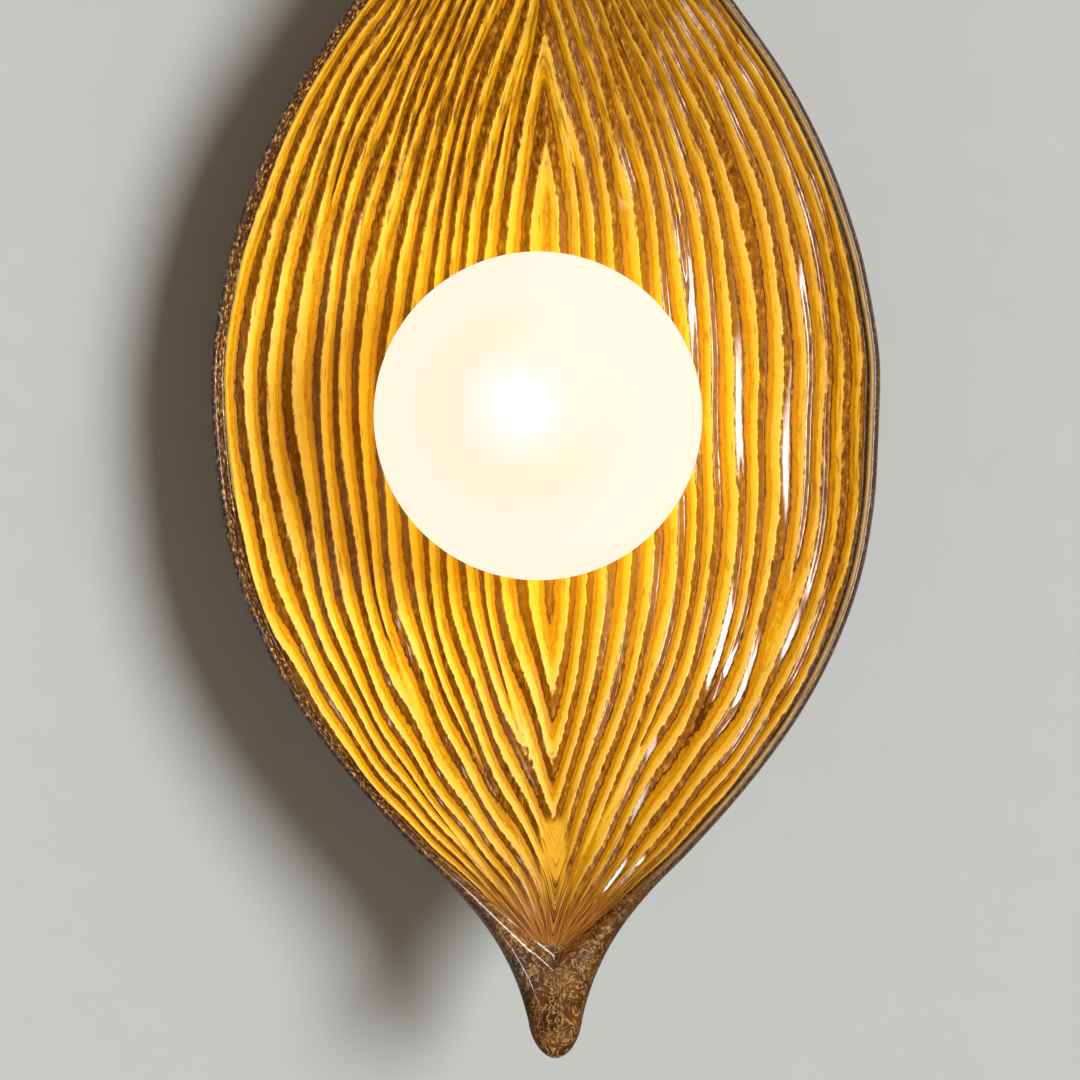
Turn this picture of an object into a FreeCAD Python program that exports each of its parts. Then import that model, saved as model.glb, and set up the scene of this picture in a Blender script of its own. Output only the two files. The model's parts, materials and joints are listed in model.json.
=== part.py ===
import FreeCAD, Part
import math
import os

# Wall light with a ribbed leaf bowl and an opal globe. Millimetres, +Z up.
# The wall is the plane y = 0 and the light stands out of it towards -Y. The origin is on the
# globe's axis. A place in depth is given as its distance from the wall, so y = -distance.

# Leaf outline
LEAF_HALF_WIDTH = 126.2
LEAF_RISE = 265.0
LEAF_DROP = 235.0
WIDEST_HEIGHT = 16.0
TIP_LEAN = 6.2
# (share of the way from the widest place to the tip, share of the half width)
UPPER_OUTLINE_SHARES = [
    (0, 1), (0.15, 0.96), (0.25, 0.904), (0.35, 0.825), (0.45, 0.718), (0.55, 0.579),
    (0.65, 0.43), (0.76, 0.275), (0.82, 0.195), (0.88, 0.135), (0.94, 0.095), (1, 0.085),
]
LOWER_OUTLINE_SHARES = [
    (0, 1), (0.1, 0.992), (0.2, 0.972), (0.3, 0.929), (0.4, 0.852), (0.5, 0.741),
    (0.6, 0.591), (0.7, 0.412), (0.76, 0.296), (0.82, 0.203), (0.88, 0.137), (0.94, 0.095),
    (1, 0.085),
]
ROUND_TIP_SHARE = 0.955

# Leaf section: the rim stands further from the wall than the keel, and the tips further still
RIM_DISTANCE = 56.0
TIP_RISE_SHARE = 0.9
BOWL_TAPER_POWER = 0.8
LEAF_THICKNESS = 6.0
TIP_THICKNESS = 17.0
RIM_WIDTH = 4.5
RIM_PROUD = 2.0
NUB_HALF_WIDTH = 18.5
CREST_END_HALF_WIDTH = 12.0
NARROWING_POWER = 2.2
# (share of the half width, share of the thickness that lies behind the front, share of the tip
# thickness by which the line stops short of the tips)
BACK_LINE_SHARES = [(0.97, 0.8, 0.04), (0.85, 1, 0.16), (0.6, 1, 0.34), (0.3, 1, 0.5)]
EDGE_DROP_SHARE = 0.25

# Leaf ribs, counted from the rim to the centre line
RIBS_PER_SIDE = 15
RIB_HEIGHT = 2.8
RIB_MERGE_SHARE = 0.35
VALLEY_HALF_SHARE = 0.2
CREST_HALF_SHARE = 0.13
BLUNT_SHARE = 0.08
POINTS_PER_LINE = 17
SEWING_TOLERANCE = 0.0001

# Round seats at the middle of the leaf
SEAT_RADIUS = 24.0
BACK_SEAT_PROUD = 1.0
FRONT_SEAT_PROUD = 4.0
PAD_THICKNESS = 1.0

# Canopy
CANOPY_RADIUS = 60.0
CANOPY_DEPTH = 24.0
CANOPY_WALL = 1.2
CANOPY_EDGE_RADIUS = 3.0

# Wall bracket
BRACKET_THICKNESS = 1.5
BRACKET_WIDTH = 20.0
SLOT_SPACING = 70.0
SLOT_LENGTH = 16.0
SLOT_WIDTH = 5.0
CABLE_HOLE_RADIUS = 7.0
EAR_WIDTH = 12.0
EAR_REACH = 14.0
EAR_GAP = 0.3

# Screws: shank radius, head radius, head height, length under the head
M4_RADIUS = 2.0
M4_HEAD_RADIUS = 3.6
M4_HEAD_HEIGHT = 2.2
M3_RADIUS = 1.5
M3_HEAD_RADIUS = 2.7
M3_HEAD_HEIGHT = 1.8
DRIVE_SLOT_WIDTH = 0.8
DRIVE_SLOT_DEPTH = 0.9
THREAD_GAP = 0.05
HOLE_GAP = 0.25
SIDE_SCREW_LENGTH = 6.0
SIDE_SCREW_DISTANCE = 8.0
EARTH_SCREW_LENGTH = 4.0
EARTH_SCREW_OFFSET = 20.0

# Hollow nipple with its nuts and washers
NIPPLE_RADIUS = 4.9
NIPPLE_BORE_RADIUS = 3.5
NIPPLE_BACK = 15.0
NIPPLE_STICK_OUT = 1.3
NIPPLE_GAP = 0.3
NUT_ACROSS_FLATS = 14.0
NUT_THICKNESS = 3.0
LOCK_WASHER_RADIUS = 8.5
LOCK_WASHER_THICKNESS = 0.8
LOCK_TEETH = 12
LOCK_NOTCH_WIDTH = 1.2
LOCK_NOTCH_DEPTH = 1.4
WASHER_RADIUS = 10.0
WASHER_THICKNESS = 1.0
BUSH_FLANGE_THICKNESS = 0.8
BUSH_LENGTH = 3.0
BUSH_WALL = 0.45

# Earth ring terminals
RING_THICKNESS = 0.8
RING_MARGIN = 2.0
TAIL_WIDTH = 3.0
BARREL_RADIUS = 1.4
BARREL_LENGTH = 5.0
NUT_RING_RADIUS = 8.5

# Leads
LEAD_RADIUS = 0.8
LEAD_OFFSET = 1.7
LEAD_BEND_SHARE = 0.45
LEAD_HOLE_GAP = 0.2
LEAD_TURN_DISTANCE = 9.0
LEAD_RISE_SHARE = 0.5
LEAD_STEP = 5.5
EARTH_LEAD_DROP = 12.0
EARTH_LEAD_BELLY = 30.0
EARTH_LEAD_BELLY_DISTANCE = 10.0

# Terminal block
BLOCK_BOTTOM = 24.0
BLOCK_HEIGHT = 16.0
BLOCK_WIDTH = 20.0
BLOCK_DEPTH = 10.2
POLE_SPACING = 9.0
POLE_FROM_FACE = 5.3
SLEEVE_RADIUS = 2.6
SLEEVE_BORE_RADIUS = 1.5
SLEEVE_RECESS = 1.0
TERMINAL_SCREW_RADIUS = 1.3
TERMINAL_SCREW_SPACING = 8.0
LEAD_IN_BLOCK = 7.0
BLOCK_SCREW_TIP_GAP = 0.2

# Globe holder, a cup with an inner thread
HOLDER_RADIUS = 29.0
HOLDER_WALL = 1.2
HOLDER_DEPTH = 12.5
HOLDER_EDGE_RADIUS = 2.0

# Lampholder on its bracket
HOLDER_BRACKET_THICKNESS = 1.0
HOLDER_BRACKET_WIDTH = 12.0
HOLDER_LEG_OFFSET = 8.5
HOLDER_LEG_LENGTH = 14.8
HOLDER_TAB_REACH = 16.0
HOLDER_SCREW_OFFSET = 12.5
HOLDER_SCREW_LENGTH = 5.0
LAMPHOLDER_REAR_HALF_WIDTH = 7.5
LAMPHOLDER_REAR_DEPTH = 5.0
LAMPHOLDER_FLANGE_THICKNESS = 3.0
LAMPHOLDER_FLANGE_WIDTH = 13.0
LAMPHOLDER_RADIUS = 9.0
LAMPHOLDER_NOSE = 8.0

# Capsule lamp with two loop pins
PIN_SPACING = 9.0
PIN_LENGTH = 8.0
PIN_THICKNESS = 1.0
PIN_LOOP_WIDTH = 3.5
PIN_GAP = 0.3
CONTACT_THICKNESS = 0.4
CONTACT_PIN_GAP = 0.1
CONTACT_WIDTH = 3.0
CONTACT_FLOOR_GAP = 0.4
CONTACT_CAVITY_GAP = 0.2
CONTACT_TAIL_START = 1.0
BULB_BASE_LENGTH = 13.7
BULB_BASE_HALF_WIDTH = 7.6
BULB_BASE_HALF_DEPTH = 5.5
BULB_RADIUS = 8.0
BULB_WALL = 0.8
BULB_LENGTH = 32.0
LED_BOARD_WIDTH = 9.0
LED_BOARD_THICKNESS = 1.0
LED_BOARD_LENGTH = 24.0
LED_CHIP_SIZE = 2.8
LED_CHIP_HEIGHT = 0.7
LED_CHIPS_PER_SIDE = 5

# Globe with a threaded neck, and the seal at the neck's end
GLOBE_RADIUS = 60.0
GLASS_THICKNESS = 2.5
NECK_RADIUS = 26.0
NECK_LENGTH = 9.7
SEAL_THICKNESS = 1.4
SEAL_WIDTH = 3.7
SEAL_GAP = 0.3
THREAD_PITCH = 4.0
THREAD_HEIGHT = 1.2
THREAD_WIDTH = 1.4
THREAD_ROOT = 0.4
NECK_THREAD_START = 1.6
NECK_THREAD_TURNS = 1.5
CUP_THREAD_TURNS = 1.25

# Overrun of every cutting tool past the face that it cuts
OVERRUN = 1.0

# Places that follow from the sizes above
LEAF_BACK = CANOPY_DEPTH + PAD_THICKNESS
KEEL_DISTANCE = LEAF_BACK + BACK_SEAT_PROUD + LEAF_THICKNESS
LEAF_FRONT = KEEL_DISTANCE + FRONT_SEAT_PROUD
HOLDER_BACK = LEAF_FRONT + PAD_THICKNESS
HOLDER_FLOOR = HOLDER_BACK + HOLDER_WALL
HOLDER_RIM = HOLDER_BACK + HOLDER_DEPTH
HOLDER_INNER_RADIUS = HOLDER_RADIUS - HOLDER_WALL
BRACKET_SEAT = HOLDER_FLOOR + WASHER_THICKNESS
FRONT_NUT_BACK = BRACKET_SEAT + HOLDER_BRACKET_THICKNESS
NIPPLE_FRONT = FRONT_NUT_BACK + NUT_THICKNESS + NIPPLE_STICK_OUT
TAB_BACK = BRACKET_SEAT + HOLDER_LEG_LENGTH
FLANGE_BACK = TAB_BACK + HOLDER_BRACKET_THICKNESS
LAMPHOLDER_BACK = FLANGE_BACK - LAMPHOLDER_REAR_DEPTH
FLANGE_FRONT = FLANGE_BACK + LAMPHOLDER_FLANGE_THICKNESS
LAMPHOLDER_FRONT = FLANGE_FRONT + LAMPHOLDER_NOSE
BULB_BACK = LAMPHOLDER_FRONT + PIN_GAP
PIN_TIP = BULB_BACK - PIN_LENGTH
CAPSULE_BACK = BULB_BACK + BULB_BASE_LENGTH
CONTACT_FLOOR = PIN_TIP - CONTACT_FLOOR_GAP - CONTACT_THICKNESS
LEAD_FRONT = CONTACT_FLOOR - CONTACT_CAVITY_GAP
CANOPY_INSIDE = CANOPY_DEPTH - CANOPY_WALL
LOCK_WASHER_BACK = CANOPY_INSIDE - LOCK_WASHER_THICKNESS
NUT_RING_BACK = LOCK_WASHER_BACK - RING_THICKNESS
BACK_NUT_BACK = NUT_RING_BACK - NUT_THICKNESS
POLE_DISTANCE = CANOPY_INSIDE - POLE_FROM_FACE
BLOCK_REAR = CANOPY_INSIDE - BLOCK_DEPTH
BLOCK_MIDDLE = BLOCK_BOTTOM + BLOCK_HEIGHT / 2
SEAL_BACK = HOLDER_FLOOR + SEAL_GAP
NECK_END = SEAL_BACK + SEAL_THICKNESS + SEAL_GAP
GLOBE_CENTRE = NECK_END + NECK_LENGTH + math.sqrt(GLOBE_RADIUS ** 2 - NECK_RADIUS ** 2)
BOWL_DEPTH = RIM_DISTANCE - KEEL_DISTANCE


def at(x, distance, z):
    """a point given by its distance from the wall"""
    return FreeCAD.Vector(x, -distance, z)


FORWARD = FreeCAD.Vector(0, -1, 0)
RIGHT = FreeCAD.Vector(1, 0, 0)
UP = FreeCAD.Vector(0, 0, 1)


def disc(radius, back, front, x=0, z=0):
    """a cylinder along the depth, between two distances from the wall"""
    return Part.makeCylinder(radius, front - back, at(x, back, z), FORWARD)


def ring(outer, inner, back, front, x=0, z=0):
    """a round tube or washer along the depth"""
    return disc(outer, back, front, x, z).cut(disc(inner, back - OVERRUN, front + OVERRUN, x, z))


def block(left, right, back, front, bottom, top):
    """a box between two places on each axis"""
    return Part.makeBox(right - left, front - back, top - bottom, at(left, front, bottom))


def hexagon(across_flats, back, front):
    """a hexagonal prism along the depth, with two flats to the left and right"""
    corner = across_flats / 2 / math.cos(math.pi / 6)
    angles = [math.pi / 6 + k * math.pi / 3 for k in range(7)]
    points = [at(corner * math.cos(a), back, corner * math.sin(a)) for a in angles]
    return Part.Face(Part.makePolygon(points)).extrude(FORWARD * (front - back))


def turned(profile):
    """a solid of revolution about the depth axis, from lines and arcs given by (radius, distance)
    ends and a point between"""
    edges = []
    for start, end, *through in profile:
        first = at(start[0], start[1], 0)
        last = at(end[0], end[1], 0)
        if through:
            middle = at(through[0][0], through[0][1], 0)
            edges.append(Part.Arc(first, middle, last).toShape())
        else:
            edges.append(Part.LineSegment(first, last).toShape())
    return Part.Face(Part.Wire(edges)).revolve(at(0, 0, 0), FORWARD, 360)


def screw(radius, head_radius, head_height, length, head_seat, direction):
    """a slotted screw with its head's underside at head_seat and its shank pointing along a
    level direction"""
    back = direction * -1
    side = head_height / 2
    head = Part.makeCylinder(head_radius, side, head_seat, back)
    head = head.fuse(Part.makeCone(head_radius, head_radius - side, side, head_seat + back * side, back))
    shank = Part.makeCylinder(radius, length, head_seat, direction)
    width_way = direction.cross(UP)
    long_way = UP * 2 * (head_radius + OVERRUN)
    corner = head_seat + back * (head_height - DRIVE_SLOT_DEPTH) - long_way / 2
    corner -= width_way * (DRIVE_SLOT_WIDTH / 2)
    other = corner + width_way * DRIVE_SLOT_WIDTH
    outline = Part.makePolygon([corner, other, other + long_way, corner + long_way, corner])
    slot = Part.Face(outline).extrude(back * (DRIVE_SLOT_DEPTH + OVERRUN))
    return head.fuse(shank).cut(slot)


def rounded_path(points):
    """a wire through straight runs joined by tangent arcs, each as large as its runs allow"""
    edges = []
    radii = []
    start = points[0]
    for before, corner, after in zip(points, points[1:], points[2:]):
        way_in = (corner - before).normalize()
        way_out = (after - corner).normalize()
        half_turn = way_in.getAngle(way_out) / 2
        cut_back = LEAD_BEND_SHARE * min((corner - before).Length, (after - corner).Length)
        first = corner - way_in * cut_back
        last = corner + way_out * cut_back
        radius = cut_back / math.tan(half_turn)
        inward = (way_out - way_in).normalize()
        middle = corner + inward * (radius / math.cos(half_turn) - radius)
        edges.append(Part.LineSegment(start, first).toShape())
        edges.append(Part.Arc(first, middle, last).toShape())
        radii.append(radius)
        start = last
    edges.append(Part.LineSegment(start, points[-1]).toShape())
    return Part.Wire(edges), radii


def lead(name, points):
    """a round insulated lead along its route"""
    path, radii = rounded_path(points)
    first = points[0]
    way = (points[1] - first).normalize()
    section = Part.Wire(Part.makeCircle(LEAD_RADIUS, first, way))
    tube = path.makePipeShell([section], True, False)
    expected = math.pi * LEAD_RADIUS ** 2 * path.Length
    print(name, "bend radii", [round(r, 1) for r in radii],
          "volume over section times length", round(tube.Volume / expected, 4))
    return tube


def thread_section(radius, height, distance):
    """the trapezoid section of a thread ridge, from its root radius to its crest"""
    root = THREAD_WIDTH / 2
    crest = THREAD_WIDTH / 4
    points = [at(radius, distance - root, 0), at(radius + height, distance - crest, 0),
              at(radius + height, distance + crest, 0), at(radius, distance + root, 0)]
    return Part.makePolygon(points + points[:1])


def thread_ridge(radius, height, start, turns):
    """a right-handed helical ridge about the depth axis; a negative height points inwards"""
    spine = Part.makeHelix(THREAD_PITCH, THREAD_PITCH * turns, radius)
    spine.rotate(FreeCAD.Vector(0, 0, 0), RIGHT, 90)
    spine.translate(FORWARD * start)
    section = thread_section(radius, height, start)
    return Part.Wire(spine.Edges).makePipeShell([section], True, True)


def follow_shares(shares, place):
    """a smooth curve through (place, share) pairs, level at the first"""
    k = 0
    while k < len(shares) - 2 and shares[k + 1][0] < place:
        k += 1

    def slope(i):
        if i == 0:
            return 0.0
        low = i - 1
        high = min(i + 1, len(shares) - 1)
        return (shares[high][1] - shares[low][1]) / (shares[high][0] - shares[low][0])

    step = shares[k + 1][0] - shares[k][0]
    t = (place - shares[k][0]) / step
    return ((1 + 2 * t) * (1 - t) ** 2 * shares[k][1] + t * (1 - t) ** 2 * step * slope(k)
            + t * t * (3 - 2 * t) * shares[k + 1][1] + t * t * (t - 1) * step * slope(k + 1))


def length_share(z):
    """how far a height lies from the widest place to its tip"""
    if z > WIDEST_HEIGHT:
        return min(1.0, (z - WIDEST_HEIGHT) / (LEAF_RISE - WIDEST_HEIGHT))
    return min(1.0, (WIDEST_HEIGHT - z) / (LEAF_DROP + WIDEST_HEIGHT))


def half_width(z):
    """half the leaf's width at a height, with round tips"""
    share = length_share(z)
    outline = UPPER_OUTLINE_SHARES if z > WIDEST_HEIGHT else LOWER_OUTLINE_SHARES
    past_round = max(0.0, (share - ROUND_TIP_SHARE) / (1 - ROUND_TIP_SHARE))
    return LEAF_HALF_WIDTH * follow_shares(outline, share) * math.sqrt(max(0.0, 1 - past_round ** 2))


def centre_x(z):
    """the leaf's centre line, which leans to the right towards the lower tip"""
    return TIP_LEAN * max(0.0, -z / LEAF_DROP)


def rim_distance(z):
    """how far the rim stands from the wall"""
    return RIM_DISTANCE * (1 + TIP_RISE_SHARE * length_share(z) ** 2)


def inset(width, rim, end):
    """half width of a line that runs a rim inside the outline and closes where the leaf's half
    width is end"""
    if width <= 0:
        return -end
    return width - rim - (end - rim) * (end / width) ** NARROWING_POWER


def bowl_half_width(z):
    return inset(half_width(z), RIM_WIDTH, NUB_HALF_WIDTH)


def crest_half_width(z):
    return inset(half_width(z), RIM_WIDTH / 2, CREST_END_HALF_WIDTH)


def bowl_share(z):
    return max(0.0, bowl_half_width(z)) / inset(LEAF_HALF_WIDTH, RIM_WIDTH, NUB_HALF_WIDTH)


def thickness(z):
    """the leaf is thin in the bowl and thick at its tips"""
    solid_share = 1 / (1 + (half_width(z) / NUB_HALF_WIDTH) ** 3 / 2)
    return LEAF_THICKNESS + (TIP_THICKNESS - LEAF_THICKNESS) * solid_share


def bowl_distance(x_share, z):
    """how far the bowl's smooth front stands from the wall, at a share of the half width"""
    depth = BOWL_DEPTH * (half_width(z) / LEAF_HALF_WIDTH) ** BOWL_TAPER_POWER
    return rim_distance(z) - depth * (1 - x_share ** 2)


def ribs_in(z):
    """how many ribs lie side by side in half the bowl at a height"""
    share = bowl_share(z)
    return RIBS_PER_SIDE * share * (1 + RIB_MERGE_SHARE) / (share + RIB_MERGE_SHARE)


def closing_heights(is_open):
    """the heights below and above the widest place where a line reaches the centre line"""
    found = []
    for limit in (-LEAF_DROP, LEAF_RISE):
        inside = WIDEST_HEIGHT
        outside = limit
        for _ in range(50):
            middle = (inside + outside) / 2
            if is_open(middle):
                inside = middle
            else:
                outside = middle
        found.append((inside + outside) / 2)
    return found


def blunt(share):
    """round off the V in which a line's two halves meet"""
    return math.sqrt(share * (share + BLUNT_SHARE) / (1 + BLUNT_SHARE))


def leaf_line(half, distance, ends, side):
    """one long edge of the leaf from its lower to its upper end on the centre line"""
    points = []
    places = []
    for k in range(POINTS_PER_LINE):
        place = k / (POINTS_PER_LINE - 1)
        z = ends[0] + (ends[1] - ends[0]) * (1 - math.cos(math.pi * place)) / 2
        reach = 0.0 if k in (0, POINTS_PER_LINE - 1) else half(z)
        points.append(at(centre_x(z) + side * reach, distance(reach, z), z))
        places.append(place)
    curve = Part.BSplineCurve()
    curve.interpolate(Points=points, Parameters=places)
    return curve.toShape()


def silhouette_line(side):
    def distance(reach, z):
        return rim_distance(z) - EDGE_DROP_SHARE * LEAF_THICKNESS - (thickness(z) - LEAF_THICKNESS) / 2

    return leaf_line(lambda z: half_width(z), distance, (-LEAF_DROP, LEAF_RISE), side)


def crest_line(side):
    def half(z):
        return half_width(z) * blunt(max(0.0, crest_half_width(z)) / half_width(z))

    def distance(reach, z):
        return rim_distance(z) + RIM_PROUD

    return leaf_line(half, distance, closing_heights(lambda z: crest_half_width(z) > 0), side)


def back_line(x_share, depth_share, short_share, side):
    short = short_share * TIP_THICKNESS
    ends = (short - LEAF_DROP, LEAF_RISE - short)

    def distance(reach, z):
        return bowl_distance(x_share, z) - depth_share * thickness(z)

    return leaf_line(lambda z: x_share * half_width(z), distance, ends, side)


def rib_line(place, proud, side):
    """the line that runs place ribs in from the rim, and stands proud of the bowl"""
    def half(z):
        return bowl_half_width(z) * blunt(max(0.0, 1 - place / ribs_in(z)))

    def distance(reach, z):
        return bowl_distance(reach / half_width(z), z) + proud * math.sqrt(bowl_share(z))

    def is_open(z):
        return bowl_half_width(z) > 0 and ribs_in(z) > place

    return leaf_line(half, distance, closing_heights(is_open), side)


def leaf_lines(side):
    """every long edge of half the leaf, from the middle of its back round the rim to the middle
    of its front"""
    lines = [back_line(*shares, side) for shares in BACK_LINE_SHARES[::-1]]
    lines.append(silhouette_line(side))
    lines.append(crest_line(side))
    lines.append(rib_line(0, 0, side))
    for rib in range(RIBS_PER_SIDE):
        if rib:
            lines.append(rib_line(rib + VALLEY_HALF_SHARE, 0, side))
        lines.append(rib_line(rib + (1 - 2 * CREST_HALF_SHARE) / 2, RIB_HEIGHT, side))
        if rib < RIBS_PER_SIDE - 1:
            lines.append(rib_line(rib + (1 + 2 * CREST_HALF_SHARE) / 2, RIB_HEIGHT, side))
            lines.append(rib_line(rib + 1 - VALLEY_HALF_SHARE, 0, side))
    return lines


def leaf_body():
    """a cast leaf-shaped bowl: ruled strips between its long edges, with a round seat at the
    middle of its back and front and a hole for the nipple"""
    left = leaf_lines(-1)
    right = leaf_lines(1)
    faces = []
    for lines in (left, right):
        for outer, inner in zip(lines, lines[1:]):
            faces.append(Part.makeRuledSurface(outer, inner))
    faces.append(Part.makeRuledSurface(left[0], right[0]))
    faces.append(Part.makeRuledSurface(left[-1], right[-1]))
    shell = Part.makeShell(faces)
    shell.sewShape(SEWING_TOLERANCE)
    leaf = Part.makeSolid(shell)
    if leaf.Volume < 0:
        leaf.reverse()
    inside = (LEAF_BACK + BACK_SEAT_PROUD + KEEL_DISTANCE) / 2
    leaf = leaf.fuse([disc(SEAT_RADIUS, LEAF_BACK, inside), disc(SEAT_RADIUS, inside, LEAF_FRONT)])
    leaf = leaf.cut(disc(SEAT_RADIUS + HOLE_GAP, LEAF_FRONT, HOLDER_BACK))
    return leaf.cut(disc(NIPPLE_RADIUS + NIPPLE_GAP, LEAF_BACK - OVERRUN, LEAF_FRONT + OVERRUN))


def ear_face():
    """how far from the middle the bracket's ears can stand inside the round canopy"""
    inner = CANOPY_RADIUS - CANOPY_WALL
    return math.sqrt(inner ** 2 - (EAR_WIDTH / 2) ** 2) - EAR_GAP


def slot_cut(x):
    """one wall-screw slot"""
    straight = (SLOT_LENGTH - SLOT_WIDTH) / 2
    back = -OVERRUN
    front = BRACKET_THICKNESS + OVERRUN
    cut = block(x - straight, x + straight, back, front, -SLOT_WIDTH / 2, SLOT_WIDTH / 2)
    for end in (-straight, straight):
        cut = cut.fuse(disc(SLOT_WIDTH / 2, back, front, x + end))
    return cut


def wall_bracket():
    """a steel strip flat on the wall, with two slots, a cable hole and two bent ears"""
    reach = ear_face()
    bracket = block(-reach, reach, 0, BRACKET_THICKNESS, -BRACKET_WIDTH / 2, BRACKET_WIDTH / 2)
    for side in (-1, 1):
        inner, outer = sorted((side * (reach - BRACKET_THICKNESS), side * reach))
        bracket = bracket.fuse(block(inner, outer, 0, EAR_REACH, -EAR_WIDTH / 2, EAR_WIDTH / 2))
        bracket = bracket.cut(slot_cut(side * SLOT_SPACING / 2))
    bracket = bracket.common(disc(CANOPY_RADIUS - CANOPY_WALL - EAR_GAP, 0, EAR_REACH))
    bracket = bracket.cut(disc(CABLE_HOLE_RADIUS, -OVERRUN, BRACKET_THICKNESS + OVERRUN))
    tapped = Part.makeCylinder(M4_RADIUS + THREAD_GAP, 2 * CANOPY_RADIUS,
                               at(-CANOPY_RADIUS, SIDE_SCREW_DISTANCE, 0), RIGHT)
    bracket = bracket.cut(tapped)
    earth = disc(M4_RADIUS + THREAD_GAP, -OVERRUN, BRACKET_THICKNESS + OVERRUN, EARTH_SCREW_OFFSET)
    return bracket.cut(earth).removeSplitter()


def canopy():
    """a round cup with its rim on the wall"""
    cup = disc(CANOPY_RADIUS, 0, CANOPY_DEPTH)
    front = [e for e in cup.Edges if abs(e.CenterOfMass.y + CANOPY_DEPTH) < CANOPY_WALL]
    cup = cup.makeFillet(CANOPY_EDGE_RADIUS, front[:1])
    hollow = disc(CANOPY_RADIUS - CANOPY_WALL, -OVERRUN, CANOPY_INSIDE)
    front = [e for e in hollow.Edges if abs(e.CenterOfMass.y + CANOPY_INSIDE) < CANOPY_WALL]
    hollow = hollow.makeFillet(CANOPY_EDGE_RADIUS - CANOPY_WALL, front[:1])
    cup = cup.cut(hollow)
    cup = cup.cut(disc(NIPPLE_RADIUS + NIPPLE_GAP, 0, CANOPY_DEPTH + OVERRUN))
    side_holes = Part.makeCylinder(M4_RADIUS + HOLE_GAP, 2 * (CANOPY_RADIUS + OVERRUN),
                                   at(-CANOPY_RADIUS - OVERRUN, SIDE_SCREW_DISTANCE, 0), RIGHT)
    cup = cup.cut(side_holes)
    return cup.cut(disc(M3_RADIUS + THREAD_GAP, 0, CANOPY_DEPTH + OVERRUN, 0, BLOCK_MIDDLE))


def canopy_side_screws():
    """two screws that hold the canopy on the bracket's ears"""
    sizes = (M4_RADIUS, M4_HEAD_RADIUS, M4_HEAD_HEIGHT, SIDE_SCREW_LENGTH)
    right = screw(*sizes, at(CANOPY_RADIUS, SIDE_SCREW_DISTANCE, 0), RIGHT * -1)
    left = screw(*sizes, at(-CANOPY_RADIUS, SIDE_SCREW_DISTANCE, 0), RIGHT)
    return Part.makeCompound([left, right])


def earth_screw():
    """the screw that clamps the earth ring on the bracket"""
    seat = at(EARTH_SCREW_OFFSET, BRACKET_THICKNESS + RING_THICKNESS, 0)
    length = EARTH_SCREW_LENGTH - BRACKET_THICKNESS
    return screw(M4_RADIUS, M4_HEAD_RADIUS, M4_HEAD_HEIGHT, length, seat, FORWARD * -1)


def ring_terminal(x, back, hole_radius, ring_radius, barrel_distance):
    """a flat ring with a tail and a crimped barrel that points down"""
    front = back + RING_THICKNESS
    barrel_top = -ring_radius - RING_MARGIN
    terminal = disc(ring_radius, back, front, x)
    tail = block(x - TAIL_WIDTH / 2, x + TAIL_WIDTH / 2, back, front, barrel_top - RING_THICKNESS, 0)
    barrel_foot = at(x, barrel_distance, barrel_top - BARREL_LENGTH)
    barrel = Part.makeCylinder(BARREL_RADIUS, BARREL_LENGTH, barrel_foot, UP)
    hole = disc(hole_radius, back - OVERRUN, front + OVERRUN, x)
    terminal = terminal.fuse(tail).cut(hole).fuse(barrel)
    bore = Part.makeCylinder(LEAD_RADIUS + THREAD_GAP, BARREL_LENGTH, barrel_foot - UP * RING_THICKNESS, UP)
    return terminal.cut(bore).removeSplitter()


BRACKET_RING_RADIUS = M4_RADIUS + RING_MARGIN
BRACKET_BARREL_DISTANCE = BRACKET_THICKNESS + BARREL_RADIUS + RING_THICKNESS / 2
NUT_BARREL_DISTANCE = NUT_RING_BACK


def earth_rings():
    """one ring under the earth screw and one under the nipple's back nut"""
    on_bracket = ring_terminal(EARTH_SCREW_OFFSET, BRACKET_THICKNESS, M4_RADIUS + HOLE_GAP,
                               BRACKET_RING_RADIUS, BRACKET_BARREL_DISTANCE)
    on_nipple = ring_terminal(0, NUT_RING_BACK, NIPPLE_RADIUS + NIPPLE_GAP,
                              NUT_RING_RADIUS, NUT_BARREL_DISTANCE)
    return Part.makeCompound([on_bracket, on_nipple])


def earth_lead():
    """the lead between the two earth rings, in one slack bend below them"""
    first_z = -BRACKET_RING_RADIUS - RING_MARGIN - BARREL_LENGTH / 2
    last_z = -NUT_RING_RADIUS - RING_MARGIN - BARREL_LENGTH / 2
    return lead("earth_lead", [
        at(EARTH_SCREW_OFFSET, BRACKET_BARREL_DISTANCE, first_z),
        at(EARTH_SCREW_OFFSET, BRACKET_BARREL_DISTANCE, first_z - EARTH_LEAD_DROP),
        at(EARTH_SCREW_OFFSET / 2, EARTH_LEAD_BELLY_DISTANCE, -EARTH_LEAD_BELLY),
        at(0, NUT_BARREL_DISTANCE, last_z - EARTH_LEAD_DROP),
        at(0, NUT_BARREL_DISTANCE, last_z),
    ])


def supply_lead(name, side):
    """a lead from the lampholder back through the nipple and up into the terminal block"""
    pole = side * POLE_SPACING / 2
    rise = LEAD_RISE_SHARE * BLOCK_BOTTOM
    return lead(name, [
        at(side * LEAD_OFFSET, LEAD_FRONT, 0),
        at(side * LEAD_OFFSET, LEAD_TURN_DISTANCE, 0),
        at(pole, LEAD_TURN_DISTANCE, rise),
        at(pole, POLE_DISTANCE, rise + LEAD_STEP),
        at(pole, POLE_DISTANCE, BLOCK_BOTTOM + LEAD_IN_BLOCK),
    ])


def pole_cylinder(side, radius, bottom, height):
    return Part.makeCylinder(radius, height, at(side * POLE_SPACING / 2, POLE_DISTANCE, bottom), UP)


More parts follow.
